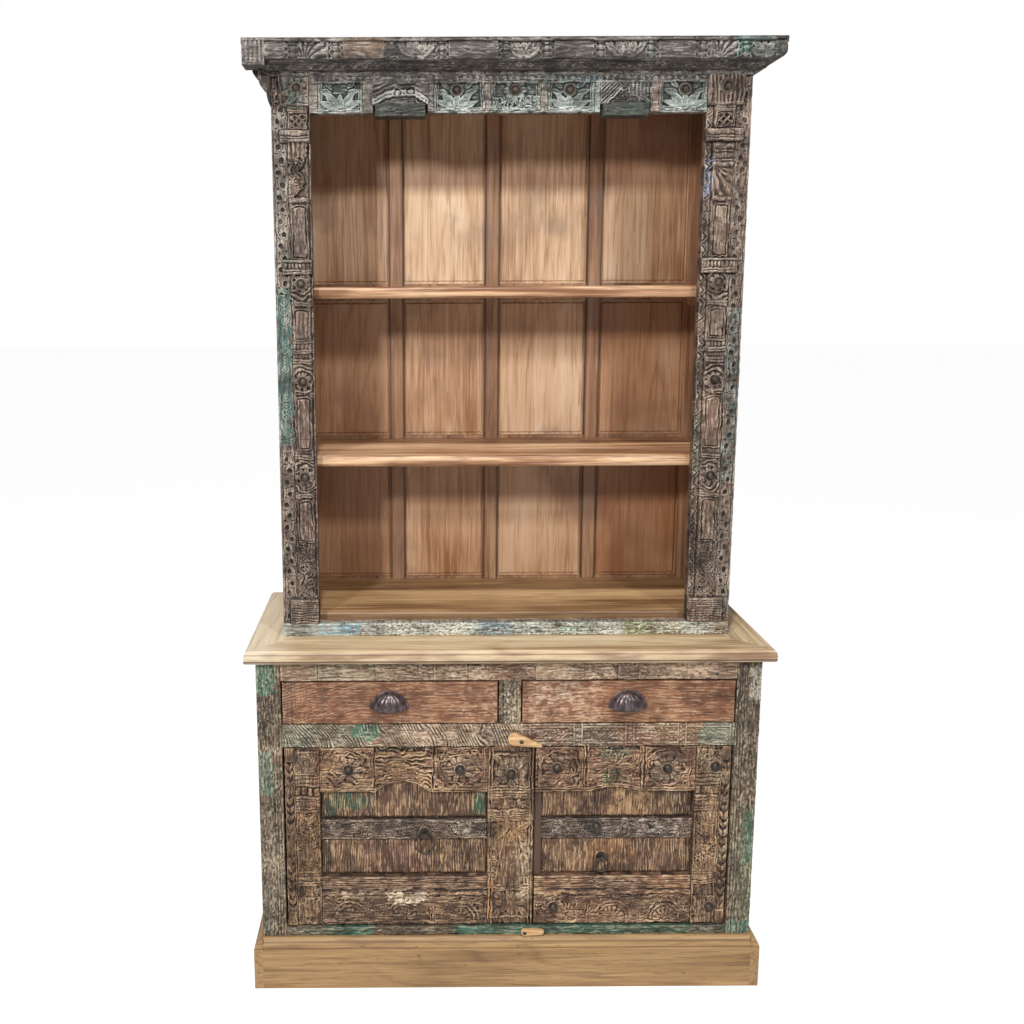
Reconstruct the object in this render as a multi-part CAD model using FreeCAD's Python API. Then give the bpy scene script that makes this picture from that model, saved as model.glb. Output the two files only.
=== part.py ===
import FreeCAD, Part
import math
import os

V = FreeCAD.Vector
os.makedirs("parts", exist_ok=True)

# Tall bookcase on a cupboard base, made from an old carved door frame, old carved shutters and planks.
# Millimetres. +Z up, the front faces -Y, +X to the right of someone who looks at the front.
# The origin is on the floor, in the middle of the base top's outline.

# Overall sizes
base_top_width = 1180.0
base_top_depth = 480.0
base_top_thickness = 30.0
base_height = 824.0
overall_height = 2120.0

# Base top: a mitred border with a moulded edge round a plain field
border_width = 100.0
edge_inset = 8.5
edge_ovolo_height = 14.0
edge_round = 6.0
edge_waist_share = 0.45
edge_belly_share = 0.25
round_share = 0.3

# Base carcass
top_overhang_front = 30.0
top_overhang_side = 22.0
post_width = 55.0
post_depth = 50.0
rear_post_width = 50.0
rail_depth = 40.0
top_rail_height = 49.0
drawer_opening_height = 104.0
mid_rail_height = 54.0
door_opening_height = 445.0
bottom_rail_height = 45.0
side_rail_thickness = 25.0
side_rail_height = 85.0
side_panel_thickness = 12.0
side_panel_inset = 8.0
back_board_thickness = 18.0
back_board_count = 6
back_board_joint = 0.6
floor_thickness = 18.0
plinth_lap = 25.0
plinth_thickness = 20.0
plinth_mould_height = 25.0
plinth_mould_depth = 14.0
plinth_hollow_share = 0.62

# Drawers
drawer_gap = 3.0
divider_width = 50.0
divider_offset = 3.0
drawer_front_thickness = 20.0
drawer_side_thickness = 14.0
drawer_side_inset = 6.0
drawer_side_drop = 16.0
drawer_bottom_thickness = 8.0
drawer_bottom_rise = 8.0
drawer_length = 385.0
runner_height = 30.0
runner_width = 33.0
slide_clearance = 0.3

# Cup pulls on the drawers
cup_width = 90.0
cup_height = 51.0
cup_projection = 25.0
cup_wall = 2.4
cup_place = 268.5
cup_lower_edge = 31.0
cup_trim_back = 3.0
cup_trim_low = 2.0

# Doors: both leaves hang at the outer posts, the middle post rides on the left leaf
door_gap = 3.0
door_setback = 4.0
door_thickness = 32.0
meeting_place = 62.5
centre_post_width = 106.0
outer_stile_width = 80.0
meeting_stile_width = 16.0
meeting_stile_proud = 2.0
stile_strip_width = 22.0
stile_edge_round = 4.0
door_top_rail_height = 109.0
door_bottom_rail_height = 117.0
door_mid_rail_height = 49.0
door_mid_rail_rise = 92.0
door_mid_rail_setback = 10.0
door_panel_setback = 18.0
door_panel_thickness = 10.0
left_arch_inset = 195.0
left_arch_width = 126.0
left_arch_rise = 26.0
right_arch_inset = 181.0
right_arch_width = 114.0
right_arch_rise = 11.0
block_proud = 3.0
post_block_heights = ((16.0, 92.0), (340.0, 424.0))
stile_block_heights = ((20.0, 70.0), (375.0, 430.0))

# Door pivots: iron pins at the foot and head of each hanging stile, which turn in holes in the rails
pivot_radius = 6.0
pivot_length = 18.0
pivot_inset = 13.0
pivot_depth = 7.0
pivot_clearance = 0.08
pivot_seat_clearance = 0.02
pivot_end_gap = 0.3

# Ring pulls: a large one on the left door's mid rail, a small one on the right door's lower planks
left_ring_radius = 22.5
left_ring_inset = 145.0
left_ring_height = 226.0
right_ring_radius = 16.0
right_ring_inset = 158.0
right_ring_height = 160.0
ring_wire_radius = 2.3
ring_clearance = 0.3
ring_stand_off = 9.0
staple_wire_radius = 2.0
staple_plate_radius = 13.0
staple_plate_thickness = 2.5

# Round iron nail bosses on the doors and on the frame
boss_collar_radius = 12.0
boss_collar_thickness = 2.0
boss_dome_radius = 9.0
boss_dome_height = 7.0
rail_boss_inset = 66.0
rail_boss_rise = 386.0
post_boss_inset = 64.0
post_boss_rise = 376.0
meeting_boss_inset = 48.0
meeting_boss_rise = 389.0
stile_boss_inset = 38.0
stile_boss_rise = 392.0
low_boss_inset = 45.0
low_boss_rise = 44.0
mid_boss_inset = 143.0
mid_boss_rise = 240.0

# Wooden turn buttons on the mid rail and on the bottom rail
button_clearance = 0.3
button_pin_radius = 2.0
button_pin_clearance = 0.06
button_head_height = 3.0
button_head_radius = 4.5
top_button_place = 29.0
top_button_rise = 17.0
top_button_thickness = 13.0
top_button_head = 15.0
top_button_head_reach = 16.0
top_button_tip = 3.5
top_button_tip_reach = 46.0
top_button_tilt = 15.0
bottom_button_place = 42.0
bottom_button_drop = 10.5
bottom_button_thickness = 11.0
bottom_button_head = 8.5
bottom_button_tip = 6.5
bottom_button_tip_reach = 40.0

# Upper case: the old door frame in front, boards behind it
upper_side_setback = 78.0
upper_setback = 110.0
frame_depth = 34.0
jamb_width = 96.0
left_jamb_width = 82.0
lintel_height = 88.0
foot_rail_height = 30.0
side_thickness = 16.0
lining_thickness = 8.0
lining_inset = 66.0
roof_thickness = 18.0
jamb_strip_inner = 17.0
left_jamb_strip_inner = 5.0
jamb_strip_outer = 34.0
jamb_strip_depth = 5.0
jamb_block_proud = 6.0
jamb_block_shares = ((0.0, 0.047), (0.65, 0.6765), (0.879, 0.8995), (0.94, 0.99))
jamb_block_margin = 1.0
jamb_block_inset = 17.0
jamb_boss_inset = 56.5
jamb_boss_shares = (0.281, 0.458, 0.6335, 0.9695)

# Lintel: a row of carved panels with two bracket blocks
lintel_strip_height = 15.0
lintel_strip_proud = 3.0
lintel_cornice_lap = 12.0
lintel_panel_margin = 6.0
lintel_panel_edge = 2.0
lintel_panel_depth = 5.0
lintel_panel_shares = ((0.007, 0.119), (0.304, 0.4315), (0.4495, 0.572), (0.5925, 0.7115), (0.8775, 0.9975))
lintel_bracket_shares = ((0.144, 0.2875), (0.725, 0.857))
bracket_proud = 6.0
bracket_drop = 9.0
bracket_foot_height = 19.0
bracket_foot_margin = 8.0
lintel_boss_rise = 47.0
lintel_boss_shares = (0.3605, 0.5095, 0.649, 0.9435)

# Cornice
cornice_height = 64.0
cornice_front_projection = 59.0
cornice_side_projection = 50.0
# Its profile from the top edge down: shares of the projection and of the height, an arc where there are four
cornice_shares = (
    (1.0, 0.0), (1.0, 0.19), (0.9, 0.25), (0.98, 0.42, 0.9, 0.59),
    (0.66, 0.64), (0.5, 0.7), (0.38, 0.86), (0.14, 0.94), (0.0, 1.0),
)
cornice_bed_points = 5
scroll_height = 62.0
scroll_width = 40.0
# Three hollows and rounds of the scroll, from its tip down: shares of its reach and of its drop
scroll_shares = ((1.0, 0.24, 0.7, 0.32), (0.52, 0.54, 0.24, 0.62), (0.14, 0.86, 0.0, 1.0))

# Shelves and the panelled back
shelf_thickness = 26.0
shelf_nose_radius = 9.0
bottom_board_nose_radius = 5.5
shelf_front_gap = 1.0
upper_shelf_level = 1617.0
lower_shelf_level = 1238.0
bottom_board_thickness = 22.0
bottom_board_rise = 16.0
cleat_height = 22.0
cleat_width = 10.0
cleat_inset = 30.0
back_frame_depth = 38.0
back_stile_width = 12.0
back_top_rail_height = 30.0
back_rail_lip = 8.0
back_bottom_rail_lip = 6.0
muntin_width = 34.0
muntin_places = (-251.0, -13.0, 240.0)
panel_recess = 10.0
panel_thickness = 12.0
panel_field_rise = 3.0
panel_bevel = 8.0
panel_margin = 4.0

# Places worked out from the sizes above
half_top = base_top_width / 2
front_y = -base_top_depth / 2
back_y = base_top_depth / 2
top_under = base_height - base_top_thickness
post_outer = half_top - top_overhang_side
post_inner = post_outer - post_width
post_front = front_y + top_overhang_front
rail_back = post_front + rail_depth
back_board_front = back_y - back_board_thickness
rear_post_front = back_y - post_depth
rear_post_inner = post_outer - rear_post_width
top_rail_low = top_under - top_rail_height
drawer_low = top_rail_low - drawer_opening_height
mid_rail_low = drawer_low - mid_rail_height
door_low = mid_rail_low - door_opening_height
bottom_rail_low = door_low - bottom_rail_height
plinth_height = bottom_rail_low + plinth_lap
divider_left = divider_offset - divider_width / 2
divider_right = divider_offset + divider_width / 2

upper_width = base_top_width - 2 * upper_side_setback
half_upper = upper_width / 2
frame_front = front_y + upper_setback
frame_back = frame_front + frame_depth
frame_top = overall_height - cornice_height + lintel_cornice_lap
jamb_inner = half_upper - jamb_width
left_jamb_inner = half_upper - left_jamb_width
jamb_low = base_height + foot_rail_height
jamb_length = frame_top - jamb_low
lintel_low = frame_top - lintel_height
lining_inner = jamb_inner + lining_inset
lining_outer = lining_inner + lining_thickness
side_inner = half_upper - side_thickness
back_front = back_y - back_frame_depth
shelf_front = frame_back + shelf_front_gap
bottom_board_level = jamb_low + bottom_board_rise

door_front = post_front + door_setback
door_back = door_front + door_thickness
door_foot = door_low + door_gap
door_head = mid_rail_low - door_gap
door_outer = post_inner - door_gap
pivot_x = door_outer - pivot_inset
pivot_y = door_front + pivot_depth
stile_inner = door_outer - outer_stile_width
left_leaf_edge = meeting_place - door_gap / 2
right_leaf_edge = meeting_place + door_gap / 2
post_left = left_leaf_edge - centre_post_width
batten_right = right_leaf_edge + meeting_stile_width
left_ring_place = post_left - left_ring_inset
right_ring_place = right_leaf_edge + right_ring_inset
left_arch_place = post_left - left_arch_inset
right_arch_place = right_leaf_edge + right_arch_inset

# Each boss on a door: its place across, its height above the leaf's foot, and how deep its seat is
left_door_bosses = (
    (rail_boss_inset - stile_inner, rail_boss_rise, 0.0),
    (post_left - post_boss_inset, rail_boss_rise, 0.0),
    (post_left + centre_post_width / 2, post_boss_rise, -block_proud),
)
right_door_bosses = (
    (right_leaf_edge + meeting_boss_inset, meeting_boss_rise, 0.0),
    (stile_inner - rail_boss_inset, rail_boss_rise, 0.0),
    (door_outer - stile_boss_inset, stile_boss_rise, -block_proud),
    (right_leaf_edge + mid_boss_inset, mid_boss_rise, door_mid_rail_setback),
    (right_leaf_edge + low_boss_inset, low_boss_rise, 0.0),
    (door_outer - stile_boss_inset, low_boss_rise, -block_proud),
)


def box(x0, x1, y0, y1, z0, z1):
    """A block between two opposite corners."""
    return Part.makeBox(x1 - x0, y1 - y0, z1 - z0, V(x0, y0, z0))


def outline(points, place):
    """A closed face. (a, b) ends a straight run, and (a, b, c, d) an arc through (a, b) to (c, d)."""
    edges = []
    last = place(*points[0])
    for point in list(points[1:]) + [points[0]]:
        if len(point) == 2:
            end = place(*point)
            if end.isEqual(last, 1e-6):
                continue
            edges.append(Part.LineSegment(last, end).toShape())
        else:
            end = place(*point[2:])
            edges.append(Part.Arc(last, place(*point[:2]), end).toShape())
        last = end
    return Part.Face(Part.Wire(edges))


def run_x(points, x0, x1):
    """An outline in Y and Z, carried along X."""
    return outline(points, lambda y, z: V(x0, y, z)).extrude(V(x1 - x0, 0, 0))


def run_y(points, y0, y1):
    """An outline in X and Z, carried along Y."""
    return outline(points, lambda x, z: V(x, y0, z)).extrude(V(0, y1 - y0, 0))


def run_z(points, z0, z1):
    """An outline in X and Y, carried along Z."""
    return outline(points, lambda x, y: V(x, y, z0)).extrude(V(0, 0, z1 - z0))


def across(shape):
    """The same piece on the other side of the middle."""
    return shape.mirror(V(0, 0, 0), V(1, 0, 0))


def fuse(shapes):
    """One solid from blocks that touch or overlap."""
    return shapes[0].multiFuse(shapes[1:]).removeSplitter() if len(shapes) > 1 else shapes[0]


def save(node, *pieces):
    """One file per node. Like pieces of a node stay separate solids."""
    solids = [solid for piece in pieces for solid in piece.Solids]
    shape = solids[0] if len(solids) == 1 else Part.makeCompound(solids)
    shape.exportStep("parts/" + node + ".step")


def boss(x, z, face):
    """A round iron nail head: a flat collar on the wood with a low dome on it."""
    collar = Part.makeCylinder(boss_collar_radius, boss_collar_thickness, V(x, face, z), V(0, -1, 0))
    sphere_radius = (boss_dome_radius ** 2 + boss_dome_height ** 2) / (2 * boss_dome_height)
    seat = face - boss_collar_thickness
    ball = Part.makeSphere(sphere_radius, V(x, seat - boss_dome_height + sphere_radius, z))
    reach = 2 * sphere_radius
    dome = ball.common(box(x - reach, x + reach, seat - reach, seat, z - reach, z + reach))
    return fuse([collar, dome])


def make_plinth():
    """Boards round the foot. The front board stands between the ends of the side boards."""
    front = post_front - plinth_thickness
    outer = post_outer + plinth_thickness
    shoulder = plinth_height - plinth_mould_height
    middle = shoulder + plinth_hollow_share * plinth_mould_height
    hollow = plinth_hollow_share * plinth_mould_depth

    def section(face, inward):
        lip = face + inward * plinth_mould_depth
        bend = face + inward * (plinth_mould_depth - hollow)
        back = face + inward * plinth_thickness
        return [
            (back, 0), (face, 0), (face, shoulder),
            (bend, middle, lip, plinth_height), (back, plinth_height),
        ]

    save("plinth_front", run_x(section(front, 1), -post_outer, post_outer))
    side = run_y(section(outer, -1), front, back_y)
    back = box(-post_outer, post_outer, back_y - plinth_thickness, back_y, 0, bottom_rail_low)
    rear_posts = box(rear_post_inner, post_outer, rear_post_front, back_y, 0, top_under)
    back = back.cut(rear_posts).cut(across(rear_posts))
    save("plinth_returns", side, across(side), back)


def make_carcass():
    """Posts, rails, framed sides, planked back, floor and drawer runners of the base."""
    post = box(post_inner, post_outer, post_front, post_front + post_depth, 0, top_under)
    rear = box(rear_post_inner, post_outer, rear_post_front, back_y, 0, top_under)
    save("left_front_post", across(post))
    save("right_front_post", post)
    save("rear_posts", across(rear), rear)

    save("top_rail", box(-post_inner, post_inner, post_front, rail_back, top_rail_low, top_under))
    mid = box(-post_inner, post_inner, post_front, rail_back, mid_rail_low, drawer_low)
    bottom = box(-post_inner, post_inner, post_front, rail_back, bottom_rail_low, door_low)
    hole_radius = pivot_radius + pivot_clearance
    hole_depth = pivot_length + pivot_end_gap
    for x in (-pivot_x, pivot_x):
        mid = mid.cut(Part.makeCylinder(hole_radius, hole_depth, V(x, pivot_y, mid_rail_low)))
        low_end = V(x, pivot_y, door_low - hole_depth)
        bottom = bottom.cut(Part.makeCylinder(hole_radius, hole_depth, low_end))
    save("mid_rail", mid)
    save("bottom_rail", bottom)
    divider = box(divider_left, divider_right, post_front, rail_back, drawer_low, top_rail_low)
    save("drawer_divider", divider)

    side_front = post_front + post_depth
    rail_inner = post_outer - side_rail_thickness
    upper_low = top_under - side_rail_height
    lower_high = bottom_rail_low + side_rail_height
    upper_rail = box(rail_inner, post_outer, side_front, rear_post_front, upper_low, top_under)
    lower_rail = box(rail_inner, post_outer, side_front, rear_post_front, bottom_rail_low, lower_high)
    panel_outer = post_outer - side_panel_inset
    panel_inner = panel_outer - side_panel_thickness
    panel = box(panel_inner, panel_outer, side_front, rear_post_front, lower_high, upper_low)
    save("base_side_rails", upper_rail, lower_rail, across(upper_rail), across(lower_rail))
    save("base_side_panels", panel, across(panel))

    pitch = 2 * rear_post_inner / back_board_count
    boards = []
    for i in range(back_board_count):
        left = -rear_post_inner + i * pitch
        right = left + pitch - (back_board_joint if i < back_board_count - 1 else 0)
        boards.append(box(left, right, back_board_front, back_y, bottom_rail_low, top_under))
    save("base_back_boards", *boards)

    floor = box(-rail_inner, rail_inner, rail_back, back_board_front, door_low - floor_thickness, door_low)
    for corner in (post, rear, across(post), across(rear)):
        floor = floor.cut(corner)
    save("base_floor", floor)

    runner_top = drawer_low + drawer_gap - slide_clearance
    runner_low = runner_top - runner_height
    outer_runner = box(post_inner - runner_width, post_inner, rail_back, back_board_front,
                       runner_low, runner_top)
    middle_runner = box(divider_left - runner_width, divider_right + runner_width,
                        rail_back, back_board_front, runner_low, runner_top)
    save("drawer_runners", across(outer_runner), middle_runner, outer_runner)


def make_base_top():
    """A border of three mitred boards with a moulded edge, round a plain field of planks."""
    shoulder = base_height - edge_ovolo_height
    waist = base_height - edge_waist_share * edge_ovolo_height

    def section(face, inward):
        arris = face + inward * edge_inset
        belly = face + inward * edge_belly_share * edge_inset
        low = face + inward * edge_round
        corner = face + inward * round_share * edge_round
        inner = face + inward * border_width
        return [
            (inner, top_under), (inner, base_height), (arris, base_height), (belly, waist, face, shoulder),
            (face, top_under + edge_round), (corner, top_under + round_share * edge_round, low, top_under),
        ]

    reach = base_top_depth
    mitre = run_z([(half_top, front_y), (half_top - reach, front_y + reach), (half_top, front_y + reach)],
                  top_under - 1, base_height + 1)
    front = run_x(section(front_y, 1), -half_top, half_top).cut(mitre).cut(across(mitre))
    side = run_y(section(half_top, -1), front_y, back_y).common(mitre)
    field = box(-half_top + border_width, half_top - border_width, front_y + border_width, back_y,
                top_under, base_height)
    save("base_top_border", front, side, across(side))
    save("base_top_field", field)


def make_drawer(name, left, right):
    """A drawer on runners: a plank front, two sides, a back and a thin bottom between them."""
    front_low = drawer_low + drawer_gap
    front_high = top_rail_low - drawer_gap
    inner_front = post_front + drawer_front_thickness
    rear = post_front + drawer_length
    side_high = front_high - drawer_side_drop
    box_left = left + drawer_side_inset
    box_right = right - drawer_side_inset
    inside_left = box_left + drawer_side_thickness
    inside_right = box_right - drawer_side_thickness
    inside_rear = rear - drawer_side_thickness
    bottom_low = front_low + drawer_bottom_rise

    save(name + "_front", box(left, right, post_front, inner_front, front_low, front_high))
    left_side = box(box_left, inside_left, inner_front, rear, front_low, side_high)
    right_side = box(inside_right, box_right, inner_front, rear, front_low, side_high)
    back = box(inside_left, inside_right, inside_rear, rear, front_low, side_high)
    bottom = box(inside_left, inside_right, inner_front, inside_rear, bottom_low,
                 bottom_low + drawer_bottom_thickness)
    save(name + "_box", left_side, right_side, back, bottom)


def make_cup_pull(name, place):
    """A cast shell, a quarter of an ellipsoid, closed at the top and open along its lower edge."""
    low = drawer_low + cup_lower_edge
    centre = V(place, post_front + cup_trim_back, low - cup_trim_low)
    half_sizes = (cup_width / 2, cup_projection + cup_trim_back, cup_height + cup_trim_low)

    def ellipsoid(shrink):
        scale = FreeCAD.Matrix()
        scale.scale(*[size - shrink for size in half_sizes])
        shape = Part.makeSphere(1.0).transformGeometry(scale)
        shape.translate(centre)
        return shape

    far = 4 * cup_width
    room = box(place - far, place + far, post_front - far, post_front, low, low + far)
    shell = ellipsoid(0).cut(ellipsoid(cup_wall)).common(room)
    save(name, shell)


def door_upright(x0, x1, blocks, block_x0, block_x1):
    """An upright of a door: a plain post with carved blocks standing proud at its foot and head."""
    pieces = [box(x0, x1, door_front, door_back, door_foot, door_head)]
    for low, high in blocks:
        face = door_front - block_proud
        pieces.append(box(block_x0, block_x1, face, door_front, door_foot + low, door_foot + high))
    return fuse(pieces)


def make_hanging_stile(name):
    """A hanging stile and its pivots. The arris beside the post is rounded to let the leaf swing."""
    stile = door_upright(
        stile_inner, door_outer, stile_block_heights, stile_inner, door_outer - stile_strip_width)
    arris = [edge for edge in stile.Edges
             if edge.BoundBox.XMin > door_outer - 0.1 and edge.BoundBox.YMax < door_front + 0.1]
    stile = stile.makeFillet(stile_edge_round, arris)
    pins = []
    for low, high in (
        (door_low - pivot_length, door_foot + pivot_length),
        (door_head - pivot_length, mid_rail_low + pivot_length),
    ):
        foot = V(pivot_x, pivot_y, low)
        pins.append(Part.makeCylinder(pivot_radius, high - low, foot))
        stile = stile.cut(Part.makeCylinder(pivot_radius + pivot_seat_clearance, high - low, foot))
    if name == "left_door":
        stile = across(stile)
        pins = [across(pin) for pin in pins]
    save(name + "_stile", stile)
    save(name + "_pivots", *pins)


def make_leaf(name, rail_x0, rail_x1, panel_x0, panel_x1, arch_place, arch_width, arch_rise):
    """The rails and sunk plank panels of one leaf. The top rail has a shallow arch in its lower edge."""
    top_low = door_head - door_top_rail_height
    bottom_high = door_foot + door_bottom_rail_height
    mid_low = bottom_high + door_mid_rail_rise
    mid_high = mid_low + door_mid_rail_height
    sunk = door_front + door_panel_setback
    top = run_y([
        (rail_x0, top_low), (arch_place - arch_width / 2, top_low),
        (arch_place, top_low + arch_rise, arch_place + arch_width / 2, top_low),
        (rail_x1, top_low), (rail_x1, door_head), (rail_x0, door_head),
    ], door_front, door_back)
    mid = box(panel_x0, panel_x1, door_front + door_mid_rail_setback, door_back, mid_low, mid_high)
    lower = box(panel_x0, panel_x1, sunk, sunk + door_panel_thickness, bottom_high, mid_low)
    upper = box(panel_x0, panel_x1, sunk, sunk + door_panel_thickness, mid_high, door_head).cut(top)
    save(name + "_top_rail", top)
    save(name + "_mid_rail", mid)
    save(name + "_bottom_rail", box(rail_x0, rail_x1, door_front, door_back, door_foot, bottom_high))
    save(name + "_panels", lower, max(upper.Solids, key=lambda solid: solid.Volume))


def ring_pull(place, height, face, ring_radius):
    """An iron plate on the wood with a bent eye on it, and the ring that hangs in the eye."""
    eye_z = door_foot + height
    eye_y = face - ring_stand_off
    bend = ring_wire_radius + ring_clearance + staple_wire_radius
    seat = V(place, face, eye_z)
    plate = Part.makeCylinder(staple_plate_radius, staple_plate_thickness, seat, V(0, -1, 0))
    wire_end = Part.makeCircle(staple_wire_radius, V(place, eye_y, eye_z + bend), V(0, 1, 0))
    pieces = [plate, Part.Face(Part.Wire(wire_end)).revolve(V(place, eye_y, eye_z), V(1, 0, 0), 180)]
    leg_length = ring_stand_off - 0.5 * staple_plate_thickness
    for z in (eye_z - bend, eye_z + bend):
        pieces.append(Part.makeCylinder(staple_wire_radius, leg_length, V(place, eye_y, z), V(0, 1, 0)))
    ring = Part.makeTorus(ring_radius, ring_wire_radius, V(place, eye_y, eye_z - ring_radius), V(0, 1, 0))
    return fuse(pieces), ring


def make_doors():
    """Two leaves. The wide middle post belongs to the left one, so either leaf opens by itself."""
    make_hanging_stile("left_door")
    make_hanging_stile("right_door")
    save("left_door_centre_post", door_upright(
        post_left, left_leaf_edge, post_block_heights, post_left, left_leaf_edge))
    save("right_door_meeting_stile", box(
        right_leaf_edge, batten_right, door_front + door_panel_setback - meeting_stile_proud, door_back,
        door_foot + door_bottom_rail_height, door_head - door_top_rail_height))
    make_leaf("left_door", -stile_inner, post_left, -stile_inner, post_left,
              left_arch_place, left_arch_width, left_arch_rise)
    make_leaf("right_door", right_leaf_edge, stile_inner, batten_right, stile_inner,
              right_arch_place, right_arch_width, right_arch_rise)

    mid_face = door_front + door_mid_rail_setback
    panel_face = door_front + door_panel_setback
    left_eye, left_ring = ring_pull(left_ring_place, left_ring_height, mid_face, left_ring_radius)
    right_eye, right_ring = ring_pull(right_ring_place, right_ring_height, panel_face, right_ring_radius)
    for name, bosses, eye, ring in (
        ("left", left_door_bosses, left_eye, left_ring),
        ("right", right_door_bosses, right_eye, right_ring),
    ):
        iron = [eye]
        for x, rise, seat in bosses:
            iron.append(boss(x, door_foot + rise, door_front + seat))
        save(name + "_door_iron", *iron)
        save(name + "_ring", ring)


def turn_button(x, z, thickness, head, head_reach, tip, tip_reach, tilt):
    """A flat drop-shaped button: two round ends joined by straight flanks, with a hole for its nail."""
    length = head_reach + tip_reach
    flare = math.acos((head - tip) / length)
    upper = V(math.cos(flare), 0, math.sin(flare))
    lower = V(math.cos(flare), 0, -math.sin(flare))
    tail_centre = V(tip_reach, 0, 0)
    head_centre = V(-head_reach, 0, 0)
    head_low = head_centre + lower * head
    head_high = head_centre + upper * head
    tail_low = tail_centre + lower * tip
    tail_high = tail_centre + upper * tip
    edges = [
        Part.Arc(head_low, head_centre - V(head, 0, 0), head_high).toShape(),
        Part.LineSegment(head_high, tail_high).toShape(),
        Part.Arc(tail_high, tail_centre + V(tip, 0, 0), tail_low).toShape(),
        Part.LineSegment(tail_low, head_low).toShape(),
    ]
    blank = Part.Face(Part.Wire(edges)).extrude(V(0, -thickness, 0))
    hole = Part.makeCylinder(button_pin_radius + button_pin_clearance, thickness, V(0, 0, 0), V(0, -1, 0))
    button = blank.cut(hole)
    button.rotate(V(0, 0, 0), V(0, 1, 0), tilt)
    button.translate(V(x, post_front - button_clearance, z))
    return button


def pivot_nail(x, z, thickness):
    """The nail that a button turns on: a shank from the rail's face, and a head in front of the button."""
    reach = thickness + 2 * button_clearance
    shank = Part.makeCylinder(button_pin_radius, reach, V(x, post_front, z), V(0, -1, 0))
    head = Part.makeCone(button_head_radius, button_pin_radius, button_head_height,
                         V(x, post_front - reach, z), V(0, -1, 0))
    return fuse([shank, head])


def make_buttons():
    """The two turn buttons that hold the doors shut, shown turned clear of the doors."""
    top_z = mid_rail_low + top_button_rise
    bottom_z = door_low - bottom_button_drop
    save("top_button", turn_button(
        top_button_place, top_z, top_button_thickness, top_button_head, top_button_head_reach,
        top_button_tip, top_button_tip_reach, top_button_tilt))
    save("bottom_button", turn_button(
        bottom_button_place, bottom_z, bottom_button_thickness, bottom_button_head, 0.0,
        bottom_button_tip, bottom_button_tip_reach, 0.0))
    save("button_nails", pivot_nail(top_button_place, top_z, top_button_thickness),
         pivot_nail(bottom_button_place, bottom_z, bottom_button_thickness))


def lintel_place(share):
    """The place across of a share of the width between two jambs as wide as the right one, counted from the left."""
    return jamb_inner * (2 * share - 1)


def make_jamb(inner, strip_inner):
    """A jamb on the right: a board with sunk strips at both edges, and blocks that stand proud of it."""
    strip_front = frame_front + jamb_strip_depth
    jamb = [
        box(inner, half_upper, strip_front, frame_back, jamb_low, frame_top),
        box(inner + strip_inner, half_upper - jamb_strip_outer, frame_front, strip_front, jamb_low, frame_top),
    ]
    for low, high in jamb_block_shares:
        jamb.append(box(inner + jamb_block_margin, half_upper - jamb_block_inset,
                        frame_front - jamb_block_proud, strip_front,
                        jamb_low + low * jamb_length, jamb_low + high * jamb_length))
    return fuse(jamb)


def make_frame():
    """The old door frame: two jambs on a foot rail, and a lintel between them. The left jamb is the narrower one."""
    save("left_jamb", across(make_jamb(left_jamb_inner, left_jamb_strip_inner)))
    save("right_jamb", make_jamb(jamb_inner, jamb_strip_inner))
    save("foot_rail", box(-half_upper, half_upper, frame_front, frame_back, base_height, jamb_low))

    strip_high = frame_top - lintel_cornice_lap
    strip_low = strip_high - lintel_strip_height
    lintel = fuse([
        box(-left_jamb_inner, jamb_inner, frame_front, frame_back, lintel_low, frame_top),
        box(-left_jamb_inner, jamb_inner, frame_front - lintel_strip_proud, frame_front, strip_low, strip_high),
    ])
    for start, end in lintel_panel_shares:
        left = lintel_place(start) + lintel_panel_edge
        right = lintel_place(end) - lintel_panel_edge
        lintel = lintel.cut(box(left, right, frame_front, frame_front + lintel_panel_depth,
                                lintel_low + lintel_panel_margin, strip_low))
    brackets = []
    for start, end in lintel_bracket_shares:
        x0 = lintel_place(start)
        x1 = lintel_place(end)
        foot = lintel_low - bracket_drop
        left = x0 + bracket_foot_margin
        right = x1 - bracket_foot_margin
        face = frame_front - bracket_proud
        brackets.append(fuse([
            box(x0, x1, face, frame_front, lintel_low, strip_low),
            box(left, right, face - bracket_proud, face, lintel_low, foot + bracket_foot_height),
            box(left, right, face - bracket_proud, frame_back, foot, lintel_low),
        ]))
    save("lintel", lintel, *brackets)

    bosses = []
    panel_face = frame_front + lintel_panel_depth
    for share in lintel_boss_shares:
        bosses.append(boss(lintel_place(share), lintel_low + lintel_boss_rise, panel_face))
    for share in jamb_boss_shares:
        on_block = any(low <= share <= high for low, high in jamb_block_shares)
        seat = frame_front - (jamb_block_proud if on_block else 0)
        nail = boss(half_upper - jamb_boss_inset, jamb_low + share * jamb_length, seat)
        bosses.extend([across(nail), nail])
    save("frame_bosses", *bosses)


def make_case():
    """Boards behind the frame: outer sides, inner linings, rear posts and the roof."""
    side = box(side_inner, half_upper, frame_back, back_y, base_height, frame_top)
    rear = box(lining_outer, side_inner, back_front, back_y, base_height, frame_top)
    lining = box(lining_inner, lining_outer, frame_back, back_y, base_height, frame_top)
    save("upper_sides", across(side), side, across(rear), rear)
    save("upper_linings", across(lining), lining)
    roof_top = frame_top + roof_thickness
    save("roof_board", box(-half_upper, half_upper, frame_front, back_y, frame_top, roof_top))


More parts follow.
